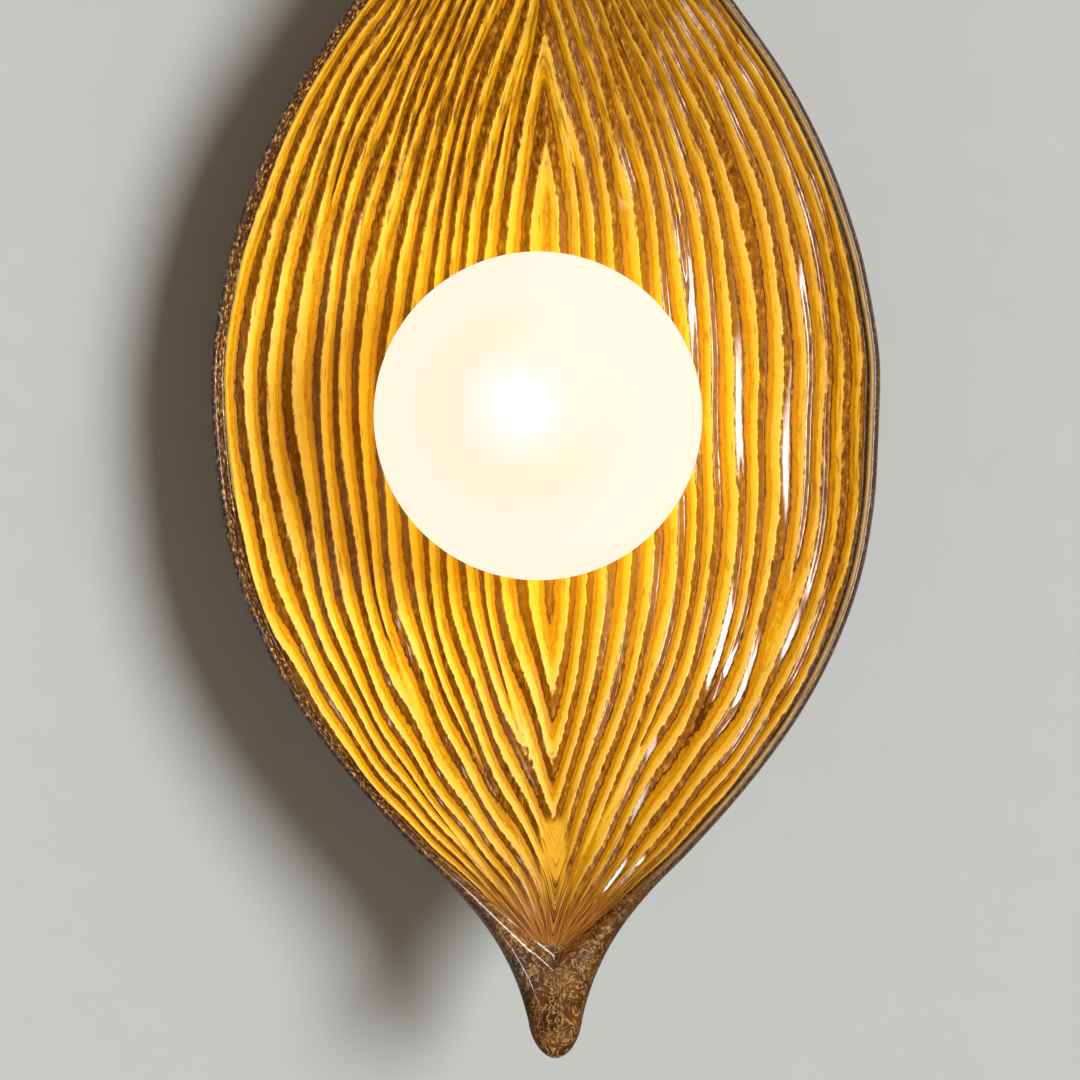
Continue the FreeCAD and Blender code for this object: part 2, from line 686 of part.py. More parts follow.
def terminal_places():
    """the (x, z) places of the four clamping screws"""
    return [(side * POLE_SPACING / 2, BLOCK_MIDDLE + end * TERMINAL_SCREW_SPACING / 2)
            for side in (-1, 1) for end in (-1, 1)]


def terminal_block():
    """a two-pole connector on the canopy's inner face"""
    body = block(-BLOCK_WIDTH / 2, BLOCK_WIDTH / 2, BLOCK_REAR, CANOPY_INSIDE,
                 BLOCK_BOTTOM, BLOCK_BOTTOM + BLOCK_HEIGHT)
    for side in (-1, 1):
        body = body.cut(pole_cylinder(side, SLEEVE_RADIUS + THREAD_GAP, BLOCK_BOTTOM - OVERRUN,
                                      BLOCK_HEIGHT + 2 * OVERRUN))
    for x, z in terminal_places():
        hole = disc(TERMINAL_SCREW_RADIUS + HOLE_GAP, BLOCK_REAR - OVERRUN, POLE_DISTANCE, x, z)
        body = body.cut(hole)
    return body.cut(disc(M3_RADIUS + HOLE_GAP, BLOCK_REAR - OVERRUN, CANOPY_DEPTH, 0, BLOCK_MIDDLE))


def terminal_sleeves():
    """a brass sleeve in each pole, drilled for its two clamping screws"""
    sleeves = []
    for side in (-1, 1):
        length = BLOCK_HEIGHT - 2 * SLEEVE_RECESS
        sleeve = pole_cylinder(side, SLEEVE_RADIUS, BLOCK_BOTTOM + SLEEVE_RECESS, length)
        sleeve = sleeve.cut(pole_cylinder(side, SLEEVE_BORE_RADIUS, BLOCK_BOTTOM, BLOCK_HEIGHT))
        for x, z in terminal_places():
            sleeve = sleeve.cut(disc(TERMINAL_SCREW_RADIUS + THREAD_GAP, BLOCK_REAR, POLE_DISTANCE, x, z))
        sleeves.append(sleeve)
    return Part.makeCompound(sleeves)


def terminal_screws():
    """four clamping screws, driven from the wall side"""
    tip = POLE_DISTANCE - LEAD_RADIUS - THREAD_GAP
    screws = []
    for x, z in terminal_places():
        shank = disc(TERMINAL_SCREW_RADIUS, BLOCK_REAR, tip, x, z)
        half = DRIVE_SLOT_WIDTH / 2
        reach = TERMINAL_SCREW_RADIUS + OVERRUN
        slot = block(x - half, x + half, BLOCK_REAR - OVERRUN, BLOCK_REAR + DRIVE_SLOT_DEPTH,
                     z - reach, z + reach)
        screws.append(shank.cut(slot))
    return Part.makeCompound(screws)


def block_screw():
    """the screw that fastens the terminal block inside the canopy"""
    length = CANOPY_DEPTH - BLOCK_SCREW_TIP_GAP - BLOCK_REAR
    seat = at(0, BLOCK_REAR, BLOCK_MIDDLE)
    return screw(M3_RADIUS, M3_HEAD_RADIUS, M3_HEAD_HEIGHT, length, seat, FORWARD)


def nipple_bush():
    """a plastic bush that keeps the leads off the nipple's cut end"""
    outer = NIPPLE_BORE_RADIUS - THREAD_GAP
    bush = disc(NIPPLE_RADIUS, NIPPLE_BACK - BUSH_FLANGE_THICKNESS, NIPPLE_BACK)
    bush = bush.fuse(disc(outer, NIPPLE_BACK, NIPPLE_BACK + BUSH_LENGTH))
    bore = disc(outer - BUSH_WALL, NIPPLE_BACK - OVERRUN, NIPPLE_BACK + BUSH_LENGTH + OVERRUN)
    return bush.removeSplitter().cut(bore)


def nipple_nut(back):
    bore = disc(NIPPLE_RADIUS + THREAD_GAP, back - OVERRUN, back + NUT_THICKNESS + OVERRUN)
    nut = hexagon(NUT_ACROSS_FLATS, back, back + NUT_THICKNESS)
    chamfer = disc(NUT_ACROSS_FLATS / 2 / math.cos(math.pi / 12), back, back + NUT_THICKNESS)
    return nut.common(chamfer).cut(bore)


def back_lock_washer():
    """an outer-toothed washer that bites into the canopy"""
    front = LOCK_WASHER_BACK + LOCK_WASHER_THICKNESS
    washer = ring(LOCK_WASHER_RADIUS, NIPPLE_RADIUS + NIPPLE_GAP, LOCK_WASHER_BACK, front)
    half = LOCK_NOTCH_WIDTH / 2
    notch = block(LOCK_WASHER_RADIUS - LOCK_NOTCH_DEPTH, LOCK_WASHER_RADIUS + OVERRUN,
                  LOCK_WASHER_BACK - OVERRUN, front + OVERRUN, -half, half)
    for k in range(LOCK_TEETH):
        turned_notch = notch.copy()
        turned_notch.rotate(at(0, 0, 0), FORWARD, 360 * k / LOCK_TEETH)
        washer = washer.cut(turned_notch)
    return washer


def globe_holder():
    """a pressed cup with an inner thread for the globe's neck"""
    cup = disc(HOLDER_RADIUS, HOLDER_BACK, HOLDER_RIM)
    rear = [e for e in cup.Edges if abs(e.CenterOfMass.y + HOLDER_BACK) < HOLDER_WALL]
    cup = cup.makeFillet(HOLDER_EDGE_RADIUS, rear[:1])
    cup = cup.cut(disc(HOLDER_INNER_RADIUS, HOLDER_FLOOR, HOLDER_RIM + OVERRUN))
    start = NECK_END + NECK_THREAD_START + THREAD_PITCH / 2
    ridge = thread_ridge(HOLDER_INNER_RADIUS + THREAD_ROOT, -THREAD_HEIGHT - THREAD_ROOT,
                         start, CUP_THREAD_TURNS)
    cup = cup.fuse(ridge)
    return cup.cut(disc(NIPPLE_RADIUS + NIPPLE_GAP, HOLDER_BACK - OVERRUN, HOLDER_RIM))


def lampholder_bracket():
    """a bent strip clamped under the front nut, with two tabs for the lampholder"""
    half = HOLDER_BRACKET_WIDTH / 2
    leg_outside = HOLDER_LEG_OFFSET + HOLDER_BRACKET_THICKNESS
    bracket = block(-leg_outside, leg_outside, BRACKET_SEAT, FRONT_NUT_BACK, -half, half)
    for side in (-1, 1):
        inner, outer = sorted((side * HOLDER_LEG_OFFSET, side * leg_outside))
        bracket = bracket.fuse(block(inner, outer, BRACKET_SEAT, FLANGE_BACK, -half, half))
        inner, outer = sorted((side * HOLDER_LEG_OFFSET, side * HOLDER_TAB_REACH))
        tab = block(inner, outer, TAB_BACK, FLANGE_BACK, -half, half)
        hole = disc(M3_RADIUS + THREAD_GAP, TAB_BACK - OVERRUN, FLANGE_BACK + OVERRUN,
                    side * HOLDER_SCREW_OFFSET)
        bracket = bracket.fuse(tab).cut(hole)
    hole = disc(NIPPLE_RADIUS + NIPPLE_GAP, BRACKET_SEAT - OVERRUN, FRONT_NUT_BACK + OVERRUN)
    return bracket.cut(hole).removeSplitter()


def contact_slot_half():
    return PIN_THICKNESS / 2 + CONTACT_PIN_GAP + CONTACT_THICKNESS + CONTACT_CAVITY_GAP


def lampholder_body():
    """a ceramic two-pin lampholder: a rear block, a flange with screw holes and a round nose"""
    half = LAMPHOLDER_FLANGE_WIDTH / 2
    rear = LAMPHOLDER_REAR_HALF_WIDTH
    body = block(-rear, rear, LAMPHOLDER_BACK, FLANGE_BACK, -half, half)
    body = body.fuse(block(-HOLDER_TAB_REACH, HOLDER_TAB_REACH, FLANGE_BACK, FLANGE_FRONT, -half, half))
    body = body.fuse(disc(LAMPHOLDER_RADIUS, FLANGE_FRONT, LAMPHOLDER_FRONT))
    cavity_half = CONTACT_WIDTH / 2 + CONTACT_CAVITY_GAP
    slot_half_width = max(cavity_half, PIN_LOOP_WIDTH / 2 + PIN_GAP)
    floor = CONTACT_FLOOR - CONTACT_CAVITY_GAP
    for side in (-1, 1):
        pin = side * PIN_SPACING / 2
        slot = block(pin - contact_slot_half(), pin + contact_slot_half(), floor,
                     LAMPHOLDER_FRONT + OVERRUN, -slot_half_width, slot_half_width)
        inner, outer = sorted((side * (CONTACT_TAIL_START - CONTACT_CAVITY_GAP), pin))
        foot = block(inner, outer, floor, CONTACT_FLOOR + CONTACT_THICKNESS + CONTACT_CAVITY_GAP,
                     -cavity_half, cavity_half)
        lead_hole = disc(LEAD_RADIUS + LEAD_HOLE_GAP, LAMPHOLDER_BACK - OVERRUN, floor, side * LEAD_OFFSET)
        screw_hole = disc(M3_RADIUS + HOLE_GAP, FLANGE_BACK - OVERRUN, FLANGE_FRONT + OVERRUN,
                          side * HOLDER_SCREW_OFFSET)
        body = body.cut(slot).cut(foot).cut(lead_hole).cut(screw_hole)
    return body.removeSplitter()


def lampholder_contacts():
    """two sprung clips, each with a foot over the end of its lead"""
    contacts = []
    top = LAMPHOLDER_FRONT - PIN_GAP - CONTACT_THICKNESS
    half = CONTACT_WIDTH / 2
    for side in (-1, 1):
        pin = side * PIN_SPACING / 2
        inside = PIN_THICKNESS / 2 + CONTACT_PIN_GAP
        outside = inside + CONTACT_THICKNESS
        inner, outer = sorted((side * CONTACT_TAIL_START, pin + side * outside))
        clip = block(inner, outer, CONTACT_FLOOR, CONTACT_FLOOR + CONTACT_THICKNESS, -half, half)
        for way in (-1, 1):
            near, far = sorted((pin + way * inside, pin + way * outside))
            clip = clip.fuse(block(near, far, CONTACT_FLOOR, top, -half, half))
        contacts.append(clip.removeSplitter())
    return Part.makeCompound(contacts)


def lampholder_screws():
    """two screws through the lampholder's flange into the tabs"""
    return Part.makeCompound([
        screw(M3_RADIUS, M3_HEAD_RADIUS, M3_HEAD_HEIGHT, HOLDER_SCREW_LENGTH,
              at(side * HOLDER_SCREW_OFFSET, FLANGE_FRONT, 0), FORWARD * -1)
        for side in (-1, 1)])


def bulb_base():
    """the capsule lamp's moulded foot, oval in section"""
    foot = disc(BULB_BASE_HALF_WIDTH, BULB_BACK, CAPSULE_BACK)
    return foot.common(block(-BULB_BASE_HALF_WIDTH, BULB_BASE_HALF_WIDTH, BULB_BACK, CAPSULE_BACK,
                             -BULB_BASE_HALF_DEPTH, BULB_BASE_HALF_DEPTH))


def bulb_pins():
    """two flat wire loops"""
    pins = []
    bend = PIN_LOOP_WIDTH / 2
    for side in (-1, 1):
        x = side * PIN_SPACING / 2
        loop = block(x - PIN_THICKNESS / 2, x + PIN_THICKNESS / 2, PIN_TIP + bend, BULB_BACK, -bend, bend)
        left = at(x - PIN_THICKNESS / 2, PIN_TIP + bend, 0)
        loop = loop.fuse(Part.makeCylinder(bend, PIN_THICKNESS, left, RIGHT))
        inner = bend - PIN_THICKNESS
        window = block(x - PIN_THICKNESS, x + PIN_THICKNESS, PIN_TIP + bend, BULB_BACK + OVERRUN,
                       -inner, inner)
        left = at(x - PIN_THICKNESS, PIN_TIP + bend, 0)
        window = window.fuse(Part.makeCylinder(inner, 2 * PIN_THICKNESS, left, RIGHT))
        pins.append(loop.cut(window).removeSplitter())
    return Part.makeCompound(pins)


def dome_profile(radius, back, front):
    """half the outline of a round-ended cylinder"""
    shoulder = front - radius
    turn = radius * math.sqrt(0.5)
    return [((0, back), (radius, back)), ((radius, back), (radius, shoulder)),
            ((radius, shoulder), (0, front), (turn, shoulder + turn)), ((0, front), (0, back))]


def bulb_capsule():
    """the lamp's clear round-ended cover"""
    front = CAPSULE_BACK + BULB_LENGTH
    cover = turned(dome_profile(BULB_RADIUS, CAPSULE_BACK, front))
    hollow = turned(dome_profile(BULB_RADIUS - BULB_WALL, CAPSULE_BACK - OVERRUN, front - BULB_WALL))
    return cover.cut(hollow)


def bulb_led_board():
    """a flat stick with a row of chips on each side"""
    half = LED_BOARD_THICKNESS / 2
    board = block(-LED_BOARD_WIDTH / 2, LED_BOARD_WIDTH / 2, CAPSULE_BACK,
                  CAPSULE_BACK + LED_BOARD_LENGTH, -half, half)
    step = LED_BOARD_LENGTH / LED_CHIPS_PER_SIDE
    for k in range(LED_CHIPS_PER_SIDE):
        middle = CAPSULE_BACK + (k + 0.5) * step
        side = LED_CHIP_SIZE / 2
        top = half + LED_CHIP_HEIGHT
        chip = block(-side, side, middle - side, middle + side, -top, top)
        board = board.fuse(chip)
    return board


def sphere_distance(radius, reach):
    """where a sphere about the globe's centre meets a cylinder, on the wall side"""
    return GLOBE_CENTRE - math.sqrt(radius ** 2 - reach ** 2)


def glass_globe():
    """an opal sphere with a neck that carries an outer thread"""
    inner = GLOBE_RADIUS - GLASS_THICKNESS
    neck_inner = NECK_RADIUS - GLASS_THICKNESS
    outer_join = sphere_distance(GLOBE_RADIUS, NECK_RADIUS)
    inner_join = sphere_distance(inner, neck_inner)
    front = GLOBE_CENTRE + GLOBE_RADIUS
    globe = turned([
        ((NECK_RADIUS, NECK_END), (NECK_RADIUS, outer_join)),
        ((NECK_RADIUS, outer_join), (0, front), (GLOBE_RADIUS, GLOBE_CENTRE)),
        ((0, front), (0, front - GLASS_THICKNESS)),
        ((0, front - GLASS_THICKNESS), (neck_inner, inner_join), (inner, GLOBE_CENTRE)),
        ((neck_inner, inner_join), (neck_inner, NECK_END)),
        ((neck_inner, NECK_END), (NECK_RADIUS, NECK_END)),
    ])
    ridge = thread_ridge(NECK_RADIUS - THREAD_ROOT, THREAD_HEIGHT + THREAD_ROOT,
                         NECK_END + NECK_THREAD_START, NECK_THREAD_TURNS)
    return globe.fuse(ridge)


PARTS = {
    "wall_bracket": wall_bracket,
    "canopy": canopy,
    "canopy_side_screws": canopy_side_screws,
    "earth_screw": earth_screw,
    "earth_rings": earth_rings,
    "earth_lead": earth_lead,
    "terminal_block": terminal_block,
    "terminal_sleeves": terminal_sleeves,
    "terminal_screws": terminal_screws,
    "block_screw": block_screw,
    "nipple": lambda: ring(NIPPLE_RADIUS, NIPPLE_BORE_RADIUS, NIPPLE_BACK, NIPPLE_FRONT),
    "nipple_bush": nipple_bush,
    "back_nut": lambda: nipple_nut(BACK_NUT_BACK),
    "back_lock_washer": back_lock_washer,
    "leaf_pad_back": lambda: ring(SEAT_RADIUS, NIPPLE_RADIUS + NIPPLE_GAP, CANOPY_DEPTH, LEAF_BACK),
    "leaf_body": leaf_body,
    "leaf_pad_front": lambda: ring(SEAT_RADIUS, NIPPLE_RADIUS + NIPPLE_GAP, LEAF_FRONT, HOLDER_BACK),
    "globe_holder": globe_holder,
    "front_washer": lambda: ring(WASHER_RADIUS, NIPPLE_RADIUS + NIPPLE_GAP, HOLDER_FLOOR, BRACKET_SEAT),
    "front_nut": lambda: nipple_nut(FRONT_NUT_BACK),
    "lampholder_bracket": lampholder_bracket,
    "lampholder_body": lampholder_body,
    "lampholder_contacts": lampholder_contacts,
    "lampholder_screws": lampholder_screws,
    "live_lead": lambda: supply_lead("live_lead", 1),
    "neutral_lead": lambda: supply_lead("neutral_lead", -1),
    "bulb_base": bulb_base,
    "bulb_pins": bulb_pins,
    "bulb_capsule": bulb_capsule,
    "bulb_led_board": bulb_led_board,
    "neck_seal": lambda: ring(NECK_RADIUS, NECK_RADIUS - SEAL_WIDTH, SEAL_BACK, SEAL_BACK + SEAL_THICKNESS),
    "glass_globe": glass_globe,
}

os.makedirs("parts", exist_ok=True)
for name, make in PARTS.items():
    shape = make()
    print(name, "solids", len(shape.Solids), "valid", shape.isValid(), "volume", round(shape.Volume, 1))
    shape.exportStep(os.path.join("parts", name + ".step"))
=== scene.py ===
import json
import math
import random

import bpy
import numpy as np
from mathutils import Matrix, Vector


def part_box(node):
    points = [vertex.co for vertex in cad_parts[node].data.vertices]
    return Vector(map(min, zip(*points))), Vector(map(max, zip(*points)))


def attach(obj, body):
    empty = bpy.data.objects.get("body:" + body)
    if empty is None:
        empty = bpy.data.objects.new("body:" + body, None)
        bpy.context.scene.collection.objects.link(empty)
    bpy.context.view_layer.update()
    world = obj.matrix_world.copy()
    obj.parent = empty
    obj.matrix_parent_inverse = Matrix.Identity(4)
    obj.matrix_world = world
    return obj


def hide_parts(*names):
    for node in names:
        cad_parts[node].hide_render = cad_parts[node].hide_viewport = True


# Ribbed leaf wall light. Metres, +Z up. The wall is the plane y = 0 and the light stands out of it
# towards -Y. A place in depth is given as its distance from the wall, so y = -distance.

# Camera, from the photograph
VIEW_AZIMUTH = math.radians(2.7)
CAMERA_DISTANCE = 1.64
CAMERA_HEIGHT = -0.0453
AIM_X = -0.0015
FRAME_PIXELS = 1080
METRES_PER_PIXEL = 0.000376
SENSOR_WIDTH = 36.0

# Leaf outline
LEAF_HALF_WIDTH = 0.1262
LEAF_RISE = 0.265
LEAF_DROP = 0.235
WIDEST_HEIGHT = 0.016
TIP_LEAN = 0.0062
# (share of the way from the widest place to the tip, share of the half width)
UPPER_OUTLINE_SHARES = [
    (0, 1), (0.15, 0.96), (0.25, 0.904), (0.35, 0.825), (0.45, 0.718), (0.55, 0.579),
    (0.65, 0.43), (0.76, 0.275), (0.82, 0.195), (0.88, 0.135), (0.94, 0.095), (1, 0.085),
]
LOWER_OUTLINE_SHARES = [
    (0, 1), (0.1, 0.992), (0.2, 0.972), (0.3, 0.929), (0.4, 0.852), (0.5, 0.741),
    (0.6, 0.591), (0.7, 0.41), (0.76, 0.288), (0.82, 0.19), (0.88, 0.123), (0.94, 0.082),
    (1, 0.062),
]
ROUND_TIP_SHARE = 0.955

# Leaf section
RIM_DISTANCE = 0.056
KEEL_DISTANCE = 0.032
TIP_RISE_SHARE = 0.9
BOWL_TAPER_POWER = 0.8
LEAF_THICKNESS = 0.006
TIP_THICKNESS = 0.017
EDGE_DROP_SHARE = 0.25
RIM_WIDTH = 0.0045
RIM_PROUD = 0.002
NUB_HALF_WIDTH = 0.0185
CREST_END_HALF_WIDTH = 0.0165
NARROWING_POWER = 2.2
BACK_EDGE_POWER = 16
SEAT_RADIUS = 0.024
# Widths are kept above this, so that nothing is divided by zero
LEAST_WIDTH = 1e-6

# Leaf ribs
RIBS_PER_SIDE = 13
RIB_HEIGHT = 0.0021
# Across one rib, from the groove on its rim side: its steep flank, then its long slope
GROOVE_PHASE = 0.82
STEEP_SHARE = 0.35
CREST_SHARPNESS = 16.0
GROOVE_SOFTNESS = 0.06
MERGE_START_SHARE = 0.9
MERGED_SHARE = 0.46
MERGE_POWER = 1.2
CROWDED_SHARE = 0.06
CROWDED_WIDTH_SHARE = 0.08
CREASE_SOFTNESS = 0.0008
RIB_START = 0.1
RIGHT_RIB_SHIFT = -0.3
LEFT_RIB_SHIFT = -0.25
LEFT_EXTRA_RIBS = 1.0
SIDE_SHIFT_END = 0.03
# Shares of the bowl's width between which the ribs die out towards the leaf's tips
RIB_END_FADE = (0.06, 0.3)
# Shares of the way to the lip between which they die out at its foot
RIB_SIDE_FADE = (1.0, 0.985)
RIB_FORK_LENGTH = 0.13
# Places where two ribs join into one: (x, z, +1 where the extra rib lies above or -1 below)
RIB_FORKS = [
    (-0.014, 0.117, -1), (-0.0245, 0.131, -1), (-0.052, 0.104, 1), (-0.080, 0.085, 1),
    (0.011, 0.097, -1), (0.029, 0.142, -1), (0.064, 0.112, 1), (0.050, 0.078, 1),
    (-0.061, -0.083, 1), (-0.0165, -0.1045, 1), (-0.030, -0.124, 1), (-0.039, -0.152, 1),
    (0.0335, -0.1226, 1), (0.018, -0.1485, 1), (0.064, -0.094, 1), (0.092, -0.056, 1),
]

# How the ribs wander: (ribs to either side, wave length, how many times longer upwards, seed)
RIB_WANDERS = [(0.16, 0.05, 6, 3), (0.12, 0.026, 8, 4)]
# The same of the line where they meet: (metres to either side, wave length, seed)
MIDDLE_WANDER = (0.0012, 0.05, 2)
WAVES = 7
WAVE_SPREAD = (0.6, 1.5)

# Plain patch below the middle: its half width, and the heights between which its ends fade
PATCH_HALF_WIDTH = 0.0048
PATCH_SIDE_FADE = (1.25, 0.75)
PATCH_TOP = (-0.147, -0.153)
PATCH_END = (-0.184, -0.172)
PATCH_FLATNESS = 0.9

# Pale line along the lip's crest, on its right side: a painted highlight
CREST_LINE_INSET = 0.0006
CREST_LINE_WIDTH = 0.0005

# Where the ribs are worn to brown. The wear grows from the first to the second of each pair.
# Above the globe: (greatest wear, heights, distances from the centre line)
BROWN_MIDDLE = (0.7, (0.06, 0.13), (0.1, 0.02))
# Above the globe on the left: (greatest wear, heights, x)
BROWN_LEFT = (0.55, (0.02, 0.09), (0, -0.05))
# By the right lip: (greatest wear, x)
BROWN_RIGHT = (0.5, (0.085, 0.11))
# Heights at the upper and at the lower tip
BROWN_ENDS = [(0.16, 0.22), (-0.15, -0.185)]

# Where the leaf's surface changes its look. The bowl's look begins inside the lip, in shares of the
# bowl's width at that height, and away from the tips, in shares of its greatest width.
BOWL_SIDE_FADE = (1.0, 0.99)
BOWL_END_FADE = (0.0, 0.1)
# The lip's outer edge, in shares of the leaf's width at that height
EDGE_FADE = (0.72, 0.98)
# The globe's light painted into the leaf's colour, in metres from its middle
GLOW_FADE = (0.11, 0.055)

# Leaf mesh
ROWS = 620
BOWL_COLUMNS = 230
RIM_COLUMNS = 12
BACK_COLUMNS = 30
LEAST_BOWL_SHARE = 0.35

# Leaf colours, 0 to 255. A rib runs from groove (0) to groove (1), its pale ridge first.
# The ridge's pale edge is partly a painted highlight; its amber inner flank and the dark line at its inner
# foot are partly painted shade.
RIB_COLOURS_WITH_PAINTED_LIGHT = [
    (0.0, (150, 92, 0)), (0.12, (130, 74, 0)), (0.155, (164, 106, 14)), (0.18, (246, 207, 120)),
    (0.28, (244, 197, 82)), (0.48, (234, 180, 40)), (0.52, (212, 150, 0)), (0.585, (204, 140, 0)),
    (0.605, (170, 102, 0)), (0.63, (216, 154, 14)), (0.68, (204, 140, 0)), (0.775, (184, 119, 0)),
    (0.805, (76, 36, 0)), (0.84, (92, 46, 0)), (0.88, (142, 84, 0)), (1.0, (150, 92, 0)),
]
GROOVE_COLOURS = [(0.36, (80, 40, 0)), (0.46, (122, 70, 0)), (0.56, (156, 98, 6)), (0.66, (196, 144, 48))]
WORN_COLOURS = [(0.4, (212, 152, 46)), (0.5, (158, 98, 12)), (0.6, (80, 42, 0))]
END_COLOURS = [(0.4, (196, 132, 52)), (0.5, (148, 90, 30)), (0.59, (68, 34, 8))]
LIP_COLOURS = [(0.38, (20, 10, 5)), (0.5, (66, 36, 14)), (0.58, (134, 86, 36)), (0.66, (226, 178, 110))]
STREAK_COLOUR = (160, 88, 0)
PATCH_COLOUR = (236, 174, 44)
# Painted light: the globe's warm glow, painted into the leaf's colour near it
LIT_COLOUR = (206, 138, 20)
LIT_TINT = (0.9, 0.91, 0.17, 1.0)
NUB_DARK = (74, 40, 10)
NUB_LIGHT = (112, 68, 24)
NUB_VEIN = (206, 158, 98)
# Painted shade towards the nub's outer edges
NUB_EDGE_SHADE = (66, 38, 20)
BACK_COLOUR = (78, 48, 26)
RIM_COLOUR = (72, 44, 28)
# Painted highlight along the right lip's crest
CREST_HIGHLIGHT_COLOUR = (255, 226, 176)

# Leaf pattern. A span is the two noise values, or phases, that it runs between, and then the values
# that it has at them where they aren't 0 and 1.
NOISE_SPAN = (0.3, 0.7)
# Grain drawn out along the ribs: cells in each rib, and in each metre of height and of width
GRAIN_PER_RIB = 2.2
GRAIN_ALONG = 26
GRAIN_SIDEWAYS = 14
# How many times finer its fine lines are than its streaks
FINE_GRAIN = 3.2
GRAIN_ROUGHNESS = 0.6
MOTTLE_SIZE = 0.0017
MOTTLE_STRETCH = (1, 1, 0.45)
MOTTLE_ROUGHNESS = 0.65
# How far the bands of a rib shift, in ribs: with the mottle, with the streaks, and where worn
RAGGED_SPAN = (0.25, 0.75, -0.07, 0.07)
DRIFT_SPAN = (*NOISE_SPAN, -0.06, 0.06)
BROWN_SPREAD = 0.14
# Phases of a rib over which the groove behind it ends and the next one begins
GROOVE_PAST = (0.19, 0.13)
GROOVE_AHEAD = (0.84, 0.9)
GROOVE_PATCH_SIZE = 0.03
GROOVE_PATCH_SPAN = (0.42, 0.58, 0.3, 0.85)
WORN_SPAN = (0.42, 0.62)
WORN_SHARE = 0.85
STREAK_SPAN = (0.6, 0.68, 0, 0.6)
PATCH_GRAIN_SPAN = (0.62, 0.5)
LIT_TINT_SHARE = 0.9
LIT_COLOUR_SHARE = 0.22
# The bowl's lower end: the heights over which it turns brown, and how far its streaks shift them
END_HEIGHTS = (-0.164, -0.187)
END_RAGGED_SPAN = (*NOISE_SPAN, -0.01, 0.01)
END_SHARE = 0.94
# Nub and lip: the nub's veins run where its curled noise is nearest to its middle value
CURL_SIZE = 0.004
CURL_WARP = 1.6
VEIN_SPAN = (0.0, 0.06, 1.0, 0.0)
SPECK_SIZE = 0.0012
SPECK_STRETCH = (1, 1, 0.7)
SPECK_ROUGHNESS = 0.6
VEIN_SPECK_SPAN = (0.35, 0.55, 0.2, 1.0)
CLOUD_SIZE = 0.007
CLOUD_SPAN = (0.4, 0.6)
EDGE_SHARE = 0.7
BACK_SHARE = 0.7
# How the painted highlight on the crest breaks up
CREST_HIGHLIGHT_SIZE = 0.012
CREST_HIGHLIGHT_SPAN = (0.3, 0.5, 0.6, 1.0)
# X over which the lip takes on its right side's look
RIGHT_FADE = (-0.02, 0.04)
# (height, height, the nub's share at the first, at the second)
NUB_HEIGHTS = (-0.14, -0.185, 0.15, 1.0)
# How ragged the bowl's border with the lip is, and the share of the bowl over which it changes
BOWL_RAGGED_SPAN = (*NOISE_SPAN, -0.3, 0.3)
BOWL_SPAN = (0.35, 0.65)
# Crinkle: (share, share, its strength at the first, at the second) of the bowl and of the outer edge
CRINKLE_IN_BOWL = (0, 1, 0.6, 0.12)
CRINKLE_AT_EDGE = (0, 1, 1, 0.3)
CRINKLE_SPECKS = 0.6
CRINKLE_DEPTH = 0.0003

# Gloss. The grooves are wet in long patches, with more of them in a field right of the globe: its
# middle's height, the x over which it begins, and how far up and down it fades.
SHEEN_HEIGHT = -0.045
SHEEN_SIDE = (0.05, 0.065)
SHEEN_REACH = (0.1, 0.06)
SHEEN_SHARE = 0.085
WET_SIZE = 0.02
WET_STRETCH = (1, 1, 0.12)
WET_SPAN = (0.53, 0.58, 0.0, 0.9)
# (x, x, share of the gloss at the first, at the second)
DRY_RIGHT = (0.1, 0.108, 1.0, 0.0)
DULL_LEFT = (-0.01, 0.03, 0.4, 1.0)
# (height, height, gloss at the first, at the second)
RIDGE_GLOSS = (-0.06, -0.12, 0.16, 0.03)
# The lip: even on the left, and on the right (share, share, gloss at the first, at the second) of
# its outer edge
LEFT_LIP_GLOSS = (0.5, 0.5, 0.5, 1.0)
RIGHT_LIP_GLOSS = (0.3, 0.8, 0.05, 0.45)
# The nub: (x, x, gloss, gloss), (height, height, share, share), and the heights where it begins
NUB_SIDE_GLOSS = (0.004, 0.01, 0.8, 0.05)
NUB_LOW_GLOSS = (-0.205, -0.215, 1.0, 0.1)
NUB_GLOSS_FADE = (-0.16, -0.18)

# Globe: where its lamp's hot spot shows, and its glow from there (share of the radius, colour)
HOT_SPOT_X = -0.004
HOT_SPOT_Z = 0.0022
GLOW_COLOURS = [
    (0.0, (255, 255, 255)), (0.13, (255, 255, 253)), (0.24, (252, 244, 233)), (0.36, (252, 237, 215)),
    (0.5, (252, 236, 213)), (0.68, (252, 240, 222)), (0.84, (252, 242, 226)), (1.0, (252, 242, 224)),
]
GLOBE_COLOUR = (60, 56, 50)
GLOW_STRENGTH = 0.96

